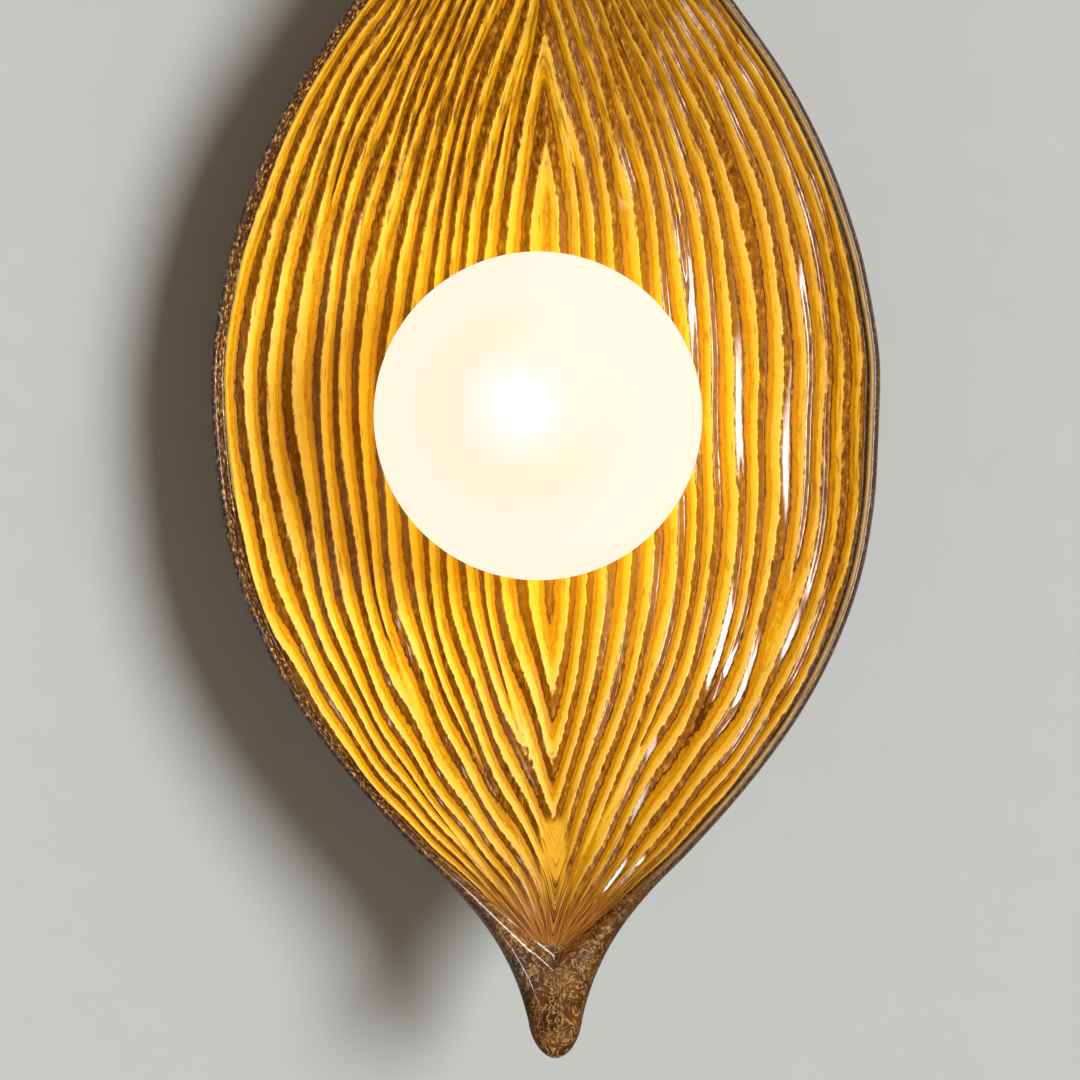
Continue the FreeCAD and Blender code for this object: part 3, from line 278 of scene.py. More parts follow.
# Plain materials
# Slot: (colour, roughness, metal, grain size, contrast, grain depth, coat)
PLAIN_MATERIALS = {
    "bronze_paint": ((62, 50, 40), 0.42, 0.6, 0.0012, 0.18, 0.00006, 0.2),
    "zinc_steel": ((176, 176, 172), 0.34, 1.0, 0.0015, 0.1),
    "brass": ((214, 176, 96), 0.3, 1.0, 0.0015, 0.08),
    "tinned_copper": ((196, 192, 184), 0.36, 1.0, 0.001, 0.08),
    "white_paint": ((226, 223, 214), 0.38, 0.0, 0.003, 0.04, 0.00003, 0.3),
    "pad_rubber": ((34, 34, 34), 0.75, 0.0, 0.001, 0.25, 0.0001),
    "seal_rubber": ((196, 190, 178), 0.6, 0.0, 0.001, 0.08, 0.00008),
    "white_plastic": ((226, 224, 216), 0.45, 0.0, 0.002, 0.04),
    "brown_insulation": ((96, 56, 30), 0.45, 0.0, 0.001, 0.1),
    "blue_insulation": ((40, 92, 176), 0.45, 0.0, 0.001, 0.1),
    "lampholder_ceramic": ((228, 222, 208), 0.6, 0.0, 0.0012, 0.06, 0.0001),
    "bulb_cover": ((238, 234, 224), 0.3, 0.0, 0.002, 0.03),
    "led_board": ((238, 214, 120), 0.5, 0.0, 0.002, 0.1),
}
# How far their roughness varies, in a grain this many times coarser than their colour's
ROUGHNESS_SPREAD = 0.15
COARSE_GRAIN = 4

# Earth lead
EARTH_GREEN = (70, 140, 50)
EARTH_YELLOW = (226, 202, 50)
STRIPE_SIZE = 0.0003
STRIPE_SPAN = (0.2, 0.4)
INSULATION_GRAIN = 0.001
INSULATION_DEPTH = 0.00003

# Lights. Strip, side and high show in gloss only.
KEY_PLACE = (1.5, -2.0, 0.26)
KEY_ANGLE = math.radians(20.5)
KEY_STRENGTH = 3.0
KEY_COLOUR = (0.95, 0.985, 1.015)
STRIP_PLACE = (0.45, -1.9, 0.1)
STRIP_POWER = 24.0
STRIP_WIDTH = 0.15
STRIP_HEIGHT = 1.6
SIDE_PLACE = (-1.3, -1.2, 0.1)
SIDE_POWER = 5.0
SIDE_WIDTH = 0.07
SIDE_HEIGHT = 1.2
GLOSS_AIM = (0, 0, -0.02)
HIGH_PLACE = (0.75, -0.85, 1.1)
HIGH_AIM = (0, -0.1, -0.2)
HIGH_POWER = 60.0
HIGH_SIZE = 1.0
BACK_PLACE = (0.8, 1.8, 0.6)
BACK_POWER = 12.0
BACK_SIZE = 1.5
GLOBE_POWER = 0.32
GLOBE_LIGHT = (1.0, 0.8, 0.34)
GLOBE_LIGHT_SHARE = 1.02
WORLD_STRENGTH = 0.15
WORLD_COLOUR = (1.0, 0.7, 0.39, 1.0)

# Stage
WALL_COLOUR = (0.617, 0.621, 0.6)
WALL_GRAIN = 0.02
WALL_SHADE = 0.985
WALL_ROUGHNESS = 0.9
FLOOR_GRAIN = 0.03
FLOOR_CONTRAST = 0.02
FLOOR_ROUGHNESS = 0.8
FLOOR_HEIGHT = -1.1
STAGE_REACH = 3.0
WALL_GAP = 0.0005


def linear(red, green, blue):
    """a shader colour from the 0 to 255 values that it should render as"""
    def channel(value):
        share = value / 255
        return share / 12.92 if share <= 0.04045 else ((share + 0.055) / 1.055) ** 2.4
    return (channel(red), channel(green), channel(blue), 1.0)


def shades(stops):
    """a ramp's stops from (place, 0 to 255 colour) pairs"""
    return [(place, linear(*colour)) for place, colour in stops]


def smooth_step(low, high, value):
    share = np.clip((value - low) / (high - low), 0, 1)
    return share * share * (3 - 2 * share)


# Camera

def add_camera():
    data = bpy.data.cameras.new("camera")
    camera = bpy.data.objects.new("camera", data)
    bpy.context.collection.objects.link(camera)
    low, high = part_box("glass_globe")
    globe_y = (low[1] + high[1]) / 2
    camera.location = (CAMERA_DISTANCE * math.sin(VIEW_AZIMUTH),
                       globe_y - CAMERA_DISTANCE * math.cos(VIEW_AZIMUTH), CAMERA_HEIGHT)
    aim = Vector((AIM_X, -RIM_DISTANCE, CAMERA_HEIGHT))
    way = aim - camera.location
    camera.rotation_euler = way.to_track_quat("-Z", "Y").to_euler()
    data.sensor_width = SENSOR_WIDTH
    data.lens = SENSOR_WIDTH * way.length / (FRAME_PIXELS * METRES_PER_PIXEL)
    bpy.context.scene.camera = camera


# Leaf form: outline and section as arrays

def follow_shares(shares, place):
    """a smooth curve through (place, share) pairs, level at the first"""
    places = np.array([pair[0] for pair in shares])
    values = np.array([pair[1] for pair in shares])
    slopes = np.zeros(len(shares))
    slopes[1:-1] = (values[2:] - values[:-2]) / (places[2:] - places[:-2])
    slopes[-1] = (values[-1] - values[-2]) / (places[-1] - places[-2])
    k = np.clip(np.searchsorted(places, place) - 1, 0, len(shares) - 2)
    step = places[k + 1] - places[k]
    t = (place - places[k]) / step
    return ((1 + 2 * t) * (1 - t) ** 2 * values[k] + t * (1 - t) ** 2 * step * slopes[k]
            + t * t * (3 - 2 * t) * values[k + 1] + t * t * (t - 1) * step * slopes[k + 1])


def length_share(z):
    """0 where the leaf is widest to 1 at its tips"""
    above = (z - WIDEST_HEIGHT) / (LEAF_RISE - WIDEST_HEIGHT)
    below = (WIDEST_HEIGHT - z) / (LEAF_DROP + WIDEST_HEIGHT)
    return np.clip(np.maximum(above, below), 0, 1)


def cap(z):
    """1 along the leaf, falling as a quarter circle to 0 at its round tips"""
    past = np.clip((length_share(z) - ROUND_TIP_SHARE) / (1 - ROUND_TIP_SHARE), 0, 1)
    return np.sqrt(1 - past ** 2)


def half_width(z):
    share = length_share(z)
    upper = follow_shares(UPPER_OUTLINE_SHARES, share)
    lower = follow_shares(LOWER_OUTLINE_SHARES, share)
    return LEAF_HALF_WIDTH * np.where(z > WIDEST_HEIGHT, upper, lower) * cap(z)


def centre_x(z):
    """the lower tip leans to the right"""
    return TIP_LEAN * np.clip(-z / LEAF_DROP, 0, None)


def rim_distance(z):
    return RIM_DISTANCE * (1 + TIP_RISE_SHARE * length_share(z) ** 2)


def inset(width, rim, end):
    """a half width a rim's width inside the outline, down to 0 where the outline is as wide as end"""
    width = np.maximum(width, end / 10)
    return np.maximum(0, width - rim - (end - rim) * (end / width) ** NARROWING_POWER)


def bowl_half_width(z):
    return inset(half_width(z), RIM_WIDTH, NUB_HALF_WIDTH)


def bowl_share(z):
    return bowl_half_width(z) / inset(LEAF_HALF_WIDTH, RIM_WIDTH, NUB_HALF_WIDTH)


def share_across(x, width):
    return np.abs(x) / np.maximum(width, LEAST_WIDTH)


def thickness(z):
    solid_share = 1 / (1 + (half_width(z) / NUB_HALF_WIDTH) ** 3 / 2)
    return LEAF_THICKNESS + (TIP_THICKNESS - LEAF_THICKNESS) * solid_share


def bowl_distance(x_share, z):
    depth = (RIM_DISTANCE - KEEL_DISTANCE) * (half_width(z) / LEAF_HALF_WIDTH) ** BOWL_TAPER_POWER
    return rim_distance(z) - depth * (1 - x_share ** 2)


def wander(x, z, size, seed):
    """a smooth random field between about -1 and 1, with waves of a given size"""
    dice = random.Random(seed)
    total = 0
    for _ in range(WAVES):
        turn = dice.uniform(0, math.tau)
        pace = math.tau / size * dice.uniform(*WAVE_SPREAD)
        start = dice.uniform(0, math.tau)
        total = total + np.sin(pace * (x * math.cos(turn) + z * math.sin(turn)) + start)
    return total / (WAVES / 2)


def ribs_to_centre(z):
    """how many ribs there are from the rim to the centre line; the rest have met on it"""
    merged = MERGED_SHARE * np.clip(1 - bowl_share(z) / MERGE_START_SHARE, 0, 1) ** MERGE_POWER
    return RIBS_PER_SIDE * (1 - merged)


def ribs_in(x, z):
    """how many ribs in from the rim a point lies, as if no rib forked"""
    sway, size, seed = MIDDLE_WANDER
    side = x - sway * wander(0 * x, z, size, seed)
    reach = np.hypot(side, CREASE_SOFTNESS) - CREASE_SOFTNESS
    inward = np.clip(1 - share_across(reach, bowl_half_width(z)), 0, 1)
    crowded = CROWDED_SHARE * (1 - np.exp(-inward / CROWDED_WIDTH_SHARE))
    inward = np.where(x > 0, inward * (1 - CROWDED_SHARE) + crowded, inward)
    return inward * ribs_to_centre(z)


def ribs_across(x, z, side):
    """how many ribs in from one side's rim a point lies, counted on past the centre line"""
    return (1 - side * x / np.maximum(bowl_half_width(z), LEAST_WIDTH)) * ribs_to_centre(z)


def rib_place(x, z):
    """how many ribs in from the rim a point lies; whole numbers are the grooves"""
    place = RIB_START + ribs_in(x, z)
    for sway, size, stretch, seed in RIB_WANDERS:
        place = place + sway * wander(x, z / stretch, size, seed)
    inward = 1 - share_across(x, bowl_half_width(z))
    place = place + RIGHT_RIB_SHIFT * smooth_step(0, SIDE_SHIFT_END, x)
    place = place + (LEFT_RIB_SHIFT + LEFT_EXTRA_RIBS * inward) * smooth_step(0, SIDE_SHIFT_END, -x)
    for fork_x, fork_z, way in RIB_FORKS:
        side = math.copysign(1, fork_x)
        across = ribs_across(x, z, side) - ribs_across(fork_x, fork_z, side)
        place = place + way * np.arctan2((z - fork_z) / RIB_FORK_LENGTH, -across) / math.tau
    return place


def rib_profile(place):
    """0 in the grooves to 1 on the crests, steep on the rim's side and sloping on the other"""
    turn = (place - GROOVE_PHASE) % 1
    steep = np.exp(-CREST_SHARPNESS * (turn / STEEP_SHARE))
    slope = np.exp(-CREST_SHARPNESS * ((1 - turn) / (1 - STEEP_SHARE)))
    crest = -np.log(steep + slope) / CREST_SHARPNESS
    return np.sqrt(np.clip(crest, 0, None) ** 2 + GROOVE_SOFTNESS ** 2) - GROOVE_SOFTNESS


def side_distance(z):
    """where the leaf is widest, on the outside of its rim"""
    return rim_distance(z) - EDGE_DROP_SHARE * LEAF_THICKNESS - (thickness(z) - LEAF_THICKNESS) / 2


def crest_half_width(z):
    return inset(half_width(z), RIM_WIDTH / 2, CREST_END_HALF_WIDTH)


def front_distance(x, z):
    """the leaf's front: ribbed bowl, lip and round nub"""
    reach = np.abs(x)
    width = half_width(z)
    inner = bowl_half_width(z)
    crest = crest_half_width(z)
    top = rim_distance(z) + RIM_PROUD
    bowl = bowl_distance(share_across(x, width), z)
    strength = smooth_step(*RIB_END_FADE, bowl_share(z))
    ribs = RIB_HEIGHT * np.sqrt(bowl_share(z)) * rib_profile(rib_place(x, z)) * strength
    ribs = ribs * (1 - PATCH_FLATNESS * patch_share(x, z))
    ribs = ribs * smooth_step(*RIB_SIDE_FADE, share_across(x, inner))
    edge = bowl_distance(share_across(inner, width), z)
    lip_share = (reach - inner) / np.maximum(crest - inner, LEAST_WIDTH)
    rise = edge + (top - edge) * smooth_step(0, 1, lip_share)
    round_share = np.clip((reach - crest) / np.maximum(width - crest, LEAST_WIDTH), 0, 1)
    fall = top - (top - side_distance(z)) * (1 - np.sqrt(1 - round_share ** 2))
    front = np.where(reach < inner, bowl + ribs, np.where(reach < crest, rise, fall))
    front = np.where(np.hypot(x, z) < SEAT_RADIUS, LEAF_FRONT, front)
    return side_distance(z) + (front - side_distance(z)) * cap(z)


def back_distance(x, z):
    share = share_across(x, half_width(z))
    full = np.sqrt(np.clip(1 - share ** BACK_EDGE_POWER, 0, 1))
    edge = rim_distance(z) - side_distance(z)
    back = bowl_distance(share, z) - thickness(z) * full - edge * (1 - full)
    back = np.where(np.hypot(x, z) < SEAT_RADIUS, LEAF_BACK, back)
    return side_distance(z) + (back - side_distance(z)) * cap(z)


def patch_share(x, z):
    """the plain yellow patch where the last ribs meet"""
    across = smooth_step(*PATCH_SIDE_FADE, np.abs(x) / PATCH_HALF_WIDTH)
    return across * smooth_step(*PATCH_TOP, z) * smooth_step(*PATCH_END, z)


def brown_share(x, z):
    """how worn to brown the bowl's ribs are: more above the globe, by the right lip and at the tips"""
    share, heights, reaches = BROWN_MIDDLE
    brown = share * (smooth_step(*heights, z) * smooth_step(*reaches, np.abs(x)))
    share, heights, sides = BROWN_LEFT
    brown = brown + share * (smooth_step(*heights, z) * smooth_step(*sides, x))
    share, sides = BROWN_RIGHT
    brown = brown + share * smooth_step(*sides, x)
    for heights in BROWN_ENDS:
        brown = brown + smooth_step(*heights, z)
    return brown


def crest_share(x, z):
    """1 on the crest of the lip, down to 0 just beside it"""
    return np.exp(-((np.abs(x) - crest_half_width(z) + CREST_LINE_INSET) / CREST_LINE_WIDTH) ** 2)


def leaf_columns(z):
    """x places across the front, from the left edge to the right, close together on the lip"""
    width = half_width(z)
    inner = np.maximum(bowl_half_width(z), LEAST_BOWL_SHARE * width)
    bowl = inner * (np.arange(BOWL_COLUMNS) / BOWL_COLUMNS)
    rim_steps = np.sin(np.arange(RIM_COLUMNS + 1) / RIM_COLUMNS * math.pi / 2)
    rim = inner + (width - inner) * rim_steps
    right = np.concatenate([bowl, rim], axis=1)
    return np.concatenate([-right[:, :0:-1], right], axis=1)


def leaf_faces(rows, loop):
    """quads between the rows, and a fan at either tip"""
    across = np.arange(loop)
    beside = (across + 1) % loop
    first = np.arange(rows - 1)[:, None] * loop
    quads = np.stack([first + across, first + beside, first + loop + beside, first + loop + across], axis=2)
    low, high = rows * loop, rows * loop + 1
    last = (rows - 1) * loop
    faces = quads.reshape(-1, 4).tolist()
    faces += [(low, int(b), int(a)) for a, b in zip(across, beside)]
    faces += [(high, last + int(a), last + int(b)) for a, b in zip(across, beside)]
    return faces


def leaf_fields(x, heights, on_front):
    """values at each point of the mesh that the leaf's material reads"""
    inner = bowl_half_width(heights)
    in_bowl = on_front & (np.abs(x) < inner)
    bowl = smooth_step(*BOWL_SIDE_FADE, share_across(x, inner))
    bowl = bowl * smooth_step(*BOWL_END_FADE, bowl_share(heights))
    place = rib_place(x, heights)
    return {
        "rib_wave": np.cos(math.tau * place),
        "rib_turn": np.sin(math.tau * place),
        "bowl": np.where(in_bowl, bowl, 0),
        "brown": brown_share(x, heights),
        "patch": patch_share(x, heights),
        "glow": smooth_step(*GLOW_FADE, np.hypot(x, heights)),
        "grain_across": ribs_in(x, heights),
        "edge": smooth_step(*EDGE_FADE, share_across(x, half_width(heights))),
        "crest": np.where(on_front, crest_share(x, heights), 0),
        "back": np.where(on_front, 0.0, 1.0),
    }


def build_leaf():
    turns = (np.arange(1, ROWS) / ROWS)[:, None]
    z = -LEAF_DROP + (LEAF_RISE + LEAF_DROP) * (1 - np.cos(math.pi * turns)) / 2
    front_x = leaf_columns(z)
    back_steps = np.cos(np.arange(1, BACK_COLUMNS * 2) / (BACK_COLUMNS * 2) * math.pi)
    back_x = half_width(z) * back_steps
    x = np.concatenate([front_x, back_x], axis=1)
    y = np.concatenate([-front_distance(front_x, z), -back_distance(back_x, z)], axis=1)
    heights = np.broadcast_to(z, x.shape)
    verts = np.stack([x + centre_x(heights), y, heights], axis=2).reshape(-1, 3)
    ends = np.array([-LEAF_DROP, LEAF_RISE])
    tips = np.stack([centre_x(ends), -side_distance(ends), ends], axis=1)
    faces = leaf_faces(*x.shape)
    mesh = bpy.data.meshes.new("leaf")
    mesh.from_pydata(np.concatenate([verts, tips]).tolist(), [], faces)
    mesh.polygons.foreach_set("use_smooth", [True] * len(faces))
    on_front = np.zeros(x.shape, bool)
    on_front[:, :front_x.shape[1]] = True
    for name, values in leaf_fields(x, heights, on_front).items():
        layer = mesh.attributes.new(name, "FLOAT", "POINT")
        layer.data.foreach_set("value", np.concatenate([values.reshape(-1), [0, 0]]).astype(np.float32))
    leaf = bpy.data.objects.new("leaf", mesh)
    bpy.context.collection.objects.link(leaf)
    return leaf


# Materials

class Nodes:
    """a material's node tree, built by short calls"""

    def __init__(self, name):
        self.material = bpy.data.materials.new(name)
        self.material.use_nodes = True
        self.tree = self.material.node_tree
        self.tree.nodes.clear()
        self.output = self.tree.nodes.new("ShaderNodeOutputMaterial")

    def node(self, kind, inputs=None, **settings):
        node = self.tree.nodes.new(kind)
        for name, value in settings.items():
            setattr(node, name, value)
        for name, value in (inputs or {}).items():
            self.put(node.inputs[name], value)
        return node

    def put(self, socket, value):
        if isinstance(value, bpy.types.NodeSocket):
            self.tree.links.new(value, socket)
        else:
            socket.default_value = value

    def attribute(self, name):
        return self.node("ShaderNodeAttribute", attribute_name=name).outputs["Fac"]

    def place(self, stretch=(1, 1, 1)):
        """the point in the part's frame, with its axes scaled"""
        point = self.node("ShaderNodeTexCoord").outputs["Object"]
        return self.node("ShaderNodeMapping", {"Vector": point, "Scale": stretch}).outputs["Vector"]

    def axes(self):
        """the point's X, Y and Z in the part's frame"""
        return self.node("ShaderNodeSeparateXYZ", {"Vector": self.place()}).outputs

    def noise(self, size, detail=3.0, stretch=(1, 1, 1), rough=0.5, warp=0.0):
        node = self.node("ShaderNodeTexNoise", {"Vector": self.place(stretch), "Scale": 1 / size,
                                                "Detail": detail, "Roughness": rough, "Distortion": warp})
        return node.outputs["Fac"]

    def maths(self, operation, a, b=0.0, clamp=False):
        node = self.node("ShaderNodeMath", operation=operation, use_clamp=clamp)
        self.put(node.inputs[0], a)
        self.put(node.inputs[1], b)
        return node.outputs[0]

    def plus(self, a, b, clamp=False):
        return self.maths("ADD", a, b, clamp)

    def minus(self, a, b):
        return self.maths("SUBTRACT", a, b)

    def times(self, a, b, clamp=False):
        return self.maths("MULTIPLY", a, b, clamp)

    def range(self, value, low, high, first=0.0, last=1.0):
        node = self.node("ShaderNodeMapRange", {"Value": value, "From Min": low, "From Max": high,
                                                "To Min": first, "To Max": last})
        return node.outputs["Result"]

    def ramp(self, value, stops):
        node = self.node("ShaderNodeValToRGB", {"Fac": value})
        elements = node.color_ramp.elements
        while len(elements) < len(stops):
            elements.new(0.5)
        for element, (place, colour) in zip(elements, stops):
            element.position = place
            element.color = colour
        return node.outputs["Color"]

    def mix(self, share, first, second, blend="MIX"):
        node = self.node("ShaderNodeMix", data_type="RGBA", blend_type=blend)
        self.put(node.inputs[0], share)
        self.put(node.inputs[6], first)
        self.put(node.inputs[7], second)
        return node.outputs[2]

    def bump(self, height, depth, strength):
        node = self.node("ShaderNodeBump", {"Height": height, "Distance": depth, "Strength": strength})
        return node.outputs["Normal"]

    def surface(self, **inputs):
        sockets = {name.replace("_", " "): value for name, value in inputs.items()}
        shader = self.node("ShaderNodeBsdfPrincipled", sockets)
        self.tree.links.new(shader.outputs[0], self.output.inputs["Surface"])
        return self.material


def rib_grain(n, point):
    """coarse streaks and fine lines, both drawn out along the ribs"""
    along = n.node("ShaderNodeCombineXYZ", {"X": n.times(n.attribute("grain_across"), GRAIN_PER_RIB),
                                            "Y": n.times(point["Z"], GRAIN_ALONG),
                                            "Z": n.times(point["X"], GRAIN_SIDEWAYS)}).outputs[0]
    streaks = n.node("ShaderNodeTexNoise", {"Vector": along, "Scale": 1.0, "Detail": 4.0,
                                            "Roughness": GRAIN_ROUGHNESS})
    fine = n.node("ShaderNodeTexNoise", {"Vector": along, "Scale": FINE_GRAIN, "Detail": 3.0,
                                         "Roughness": GRAIN_ROUGHNESS})
    return streaks.outputs["Fac"], fine.outputs["Fac"]


def bowl_colour(n, point, mottle):
    """the ribs' bands with their painted highlight and shade, mottled grooves and worn lines, with the
    globe's light painted on near it; and the grooves' share
    """
    streaks, fine = rib_grain(n, point)
    turn = n.maths("ARCTAN2", n.attribute("rib_turn"), n.attribute("rib_wave"))
    phase = n.maths("FRACT", n.times(turn, 1 / math.tau))
    phase = n.plus(phase, n.range(mottle, *RAGGED_SPAN))
    phase = n.plus(phase, n.range(streaks, *DRIFT_SPAN), clamp=True)
    spread = n.minus(phase, n.times(n.attribute("brown"), BROWN_SPREAD))
    in_groove = n.maths("MAXIMUM", n.range(spread, *GROOVE_PAST), n.range(phase, *GROOVE_AHEAD))
    patchy = n.range(n.noise(GROOVE_PATCH_SIZE, 2), *GROOVE_PATCH_SPAN)
    patchy = n.plus(patchy, n.attribute("brown"), clamp=True)
    # the rib ramp holds a painted highlight on each ridge's pale edge and painted shade on its amber flank
    # and foot
    colour = n.mix(n.times(in_groove, patchy), n.ramp(phase, shades(RIB_COLOURS_WITH_PAINTED_LIGHT)),
                   n.ramp(mottle, shades(GROOVE_COLOURS)))
    line_share = n.times(n.range(fine, *WORN_SPAN), n.attribute("brown"), clamp=True)
    colour = n.mix(n.times(line_share, WORN_SHARE), colour, n.ramp(fine, shades(WORN_COLOURS)))
    colour = n.mix(n.range(fine, *STREAK_SPAN), colour, linear(*STREAK_COLOUR))
    plain = n.times(n.attribute("patch"), n.range(fine, *PATCH_GRAIN_SPAN))
    colour = n.mix(plain, colour, linear(*PATCH_COLOUR))
    # painted light: the globe's warm light painted into the colour near it
    colour = n.mix(n.times(n.attribute("glow"), LIT_TINT_SHARE), colour, LIT_TINT, "MULTIPLY")
    colour = n.mix(n.times(n.attribute("glow"), LIT_COLOUR_SHARE), colour, linear(*LIT_COLOUR))
    at_end = n.range(n.plus(point["Z"], n.range(streaks, *END_RAGGED_SPAN)), *END_HEIGHTS)
    colour = n.mix(n.times(at_end, END_SHARE), colour, n.ramp(fine, shades(END_COLOURS)))
    return colour, in_groove


def nub_colour(n, vein, specks):
    """clouded brown with pale curled veins, darkened towards its outer edges by painted shade"""
    cloud = n.range(n.noise(CLOUD_SIZE, 2), *CLOUD_SPAN)
    colour = n.mix(cloud, linear(*NUB_DARK), linear(*NUB_LIGHT))
    colour = n.mix(n.times(vein, n.range(specks, *VEIN_SPECK_SPAN)), colour, linear(*NUB_VEIN))
    # painted shade: darker towards the nub's outer edges
    return n.mix(n.times(n.attribute("edge"), EDGE_SHARE), colour, linear(*NUB_EDGE_SHADE))


def lip_colour(n, specks, on_right):
    """dark with light specks, plain on the back, browner with a painted highlight along its crest on the
    right
    """
    colour = n.ramp(specks, shades(LIP_COLOURS))
    colour = n.mix(n.times(n.attribute("back"), BACK_SHARE), colour, linear(*BACK_COLOUR))
    rim = n.times(n.times(n.attribute("edge"), EDGE_SHARE), on_right)
    colour = n.mix(rim, colour, linear(*RIM_COLOUR))
    # a broken pale line along the crest on the right: a painted highlight
    line_share = n.times(n.attribute("crest"), n.range(n.noise(CREST_HIGHLIGHT_SIZE, 3), *CREST_HIGHLIGHT_SPAN))
    return n.mix(n.times(line_share, on_right), colour, linear(*CREST_HIGHLIGHT_COLOUR))


def bowl_gloss(n, point, in_groove):
    """wet stretches of the grooves, most of them right of the globe, and a little on the ridges"""
    beside_globe = n.maths("ABSOLUTE", n.minus(point["Z"], SHEEN_HEIGHT))
    sheen = n.times(n.range(point["X"], *SHEEN_SIDE), n.range(beside_globe, *SHEEN_REACH))
    wetness = n.plus(n.noise(WET_SIZE, 2, WET_STRETCH), n.times(sheen, SHEEN_SHARE))
    grooves = n.times(n.range(wetness, *WET_SPAN), in_groove)
    ridges = n.times(n.minus(1.0, in_groove), n.range(point["Z"], *RIDGE_GLOSS))
    sides = n.times(n.range(point["X"], *DRY_RIGHT), n.range(point["X"], *DULL_LEFT))
    return n.times(n.plus(grooves, ridges), sides)


def rim_gloss(n, point, on_right):
    """the lip's gloss, and at the nub that of its left inner side"""
    lip = n.mix(on_right, LEFT_LIP_GLOSS, n.range(n.attribute("edge"), *RIGHT_LIP_GLOSS))
    nub = n.times(n.range(point["X"], *NUB_SIDE_GLOSS), n.range(point["Z"], *NUB_LOW_GLOSS))
    return n.mix(n.range(point["Z"], *NUB_GLOSS_FADE), lip, nub)


def leaf_material():
    """lacquered resin: yellow ridges with amber inner flanks that are partly painted shade, mottled brown
    grooves, a dark crinkled lip
    """
    n = Nodes("leaf_resin")
    point = n.axes()
    mottle = n.noise(MOTTLE_SIZE, 4, MOTTLE_STRETCH, MOTTLE_ROUGHNESS)
    curl = n.noise(CURL_SIZE, 2, warp=CURL_WARP)
    vein = n.range(n.maths("ABSOLUTE", n.minus(curl, 0.5)), *VEIN_SPAN)
    specks = n.noise(SPECK_SIZE, 3, SPECK_STRETCH, SPECK_ROUGHNESS)
    on_right = n.range(point["X"], *RIGHT_FADE)
    at_tip = n.range(point["Z"], *NUB_HEIGHTS)
    in_bowl = n.range(n.plus(n.attribute("bowl"), n.range(mottle, *BOWL_RAGGED_SPAN)), *BOWL_SPAN)
    bowl, in_groove = bowl_colour(n, point, mottle)
    rim = n.mix(at_tip, lip_colour(n, specks, on_right), nub_colour(n, vein, specks))
    gloss = n.mix(in_bowl, rim_gloss(n, point, on_right), bowl_gloss(n, point, in_groove))
    rough = n.times(n.range(n.attribute("bowl"), *CRINKLE_IN_BOWL),
                    n.range(n.attribute("edge"), *CRINKLE_AT_EDGE))
    crinkle = n.bump(n.plus(vein, n.times(specks, CRINKLE_SPECKS)), CRINKLE_DEPTH, rough)
    return n.surface(Base_Color=n.mix(in_bowl, rim, bowl), Roughness=0.5, Specular_IOR_Level=0.03,
                     Coat_Weight=gloss, Coat_Roughness=0.05, Normal=crinkle)


def globe_material():
    """opal glass lit from within, brightest in front of its lamp"""
    n = Nodes("opal_glass")
    point = n.axes()
    beside = n.maths("POWER", n.minus(point["X"], HOT_SPOT_X), 2.0)
    above = n.maths("POWER", n.minus(point["Z"], HOT_SPOT_Z), 2.0)
    reach = n.maths("POWER", n.plus(beside, above), 0.5)
    glow = n.ramp(n.times(reach, 1 / GLOBE_RADIUS), shades(GLOW_COLOURS))
    return n.surface(Base_Color=linear(*GLOBE_COLOUR), Roughness=0.55, Specular_IOR_Level=0.15,
                     Emission_Color=glow, Emission_Strength=GLOW_STRENGTH)


def plain_material(name, colour, roughness, metal, size, contrast, depth=0.00005, coat=0.0):
    """a colour that varies a little, with a fine grain in its surface"""
    n = Nodes(name)
    grain = n.noise(size, 4)
    dark = tuple(c * (1 - contrast) for c in colour[:3]) + (1.0,)
    light = tuple(min(1.0, c * (1 + contrast)) for c in colour[:3]) + (1.0,)
    base = n.ramp(grain, list(zip(NOISE_SPAN, (dark, light))))
    rough = n.range(n.noise(size * COARSE_GRAIN, 2), *NOISE_SPAN, roughness * (1 - ROUGHNESS_SPREAD),
                    roughness * (1 + ROUGHNESS_SPREAD))
    return n.surface(Base_Color=base, Roughness=rough, Metallic=metal, Coat_Weight=coat,
                     Normal=n.bump(grain, depth, 0.5))


def striped_material(name):
    """earth insulation: one colour with a stripe of another along it"""
    n = Nodes(name)
    wave = n.maths("SINE", n.times(n.axes()["X"], 1 / STRIPE_SIZE))
    base = n.mix(n.range(wave, *STRIPE_SPAN), linear(*EARTH_GREEN), linear(*EARTH_YELLOW))
    grain = n.bump(n.noise(INSULATION_GRAIN), INSULATION_DEPTH, 0.4)
    return n.surface(Base_Color=base, Roughness=0.5, Normal=grain)


def wall_material():
    """the wall shows from its front only, so that views from behind see the light's back"""
    n = Nodes("wall")
    dark = tuple(c * WALL_SHADE for c in WALL_COLOUR) + (1.0,)
    base = n.ramp(n.noise(WALL_GRAIN, 4), list(zip(NOISE_SPAN, (dark, WALL_COLOUR + (1.0,)))))
    shader = n.node("ShaderNodeBsdfPrincipled", {"Base Color": base, "Roughness": WALL_ROUGHNESS,
                                                 "Specular IOR Level": 0.1})
    clear = n.node("ShaderNodeBsdfTransparent")
    behind = n.node("ShaderNodeNewGeometry").outputs["Backfacing"]
    shadow = n.node("ShaderNodeLightPath").outputs["Is Shadow Ray"]
    mixed = n.node("ShaderNodeMixShader", {"Fac": n.maths("MAXIMUM", behind, shadow)})
    n.tree.links.new(shader.outputs[0], mixed.inputs[1])
    n.tree.links.new(clear.outputs[0], mixed.inputs[2])
    n.tree.links.new(mixed.outputs[0], n.output.inputs["Surface"])
    return n.material


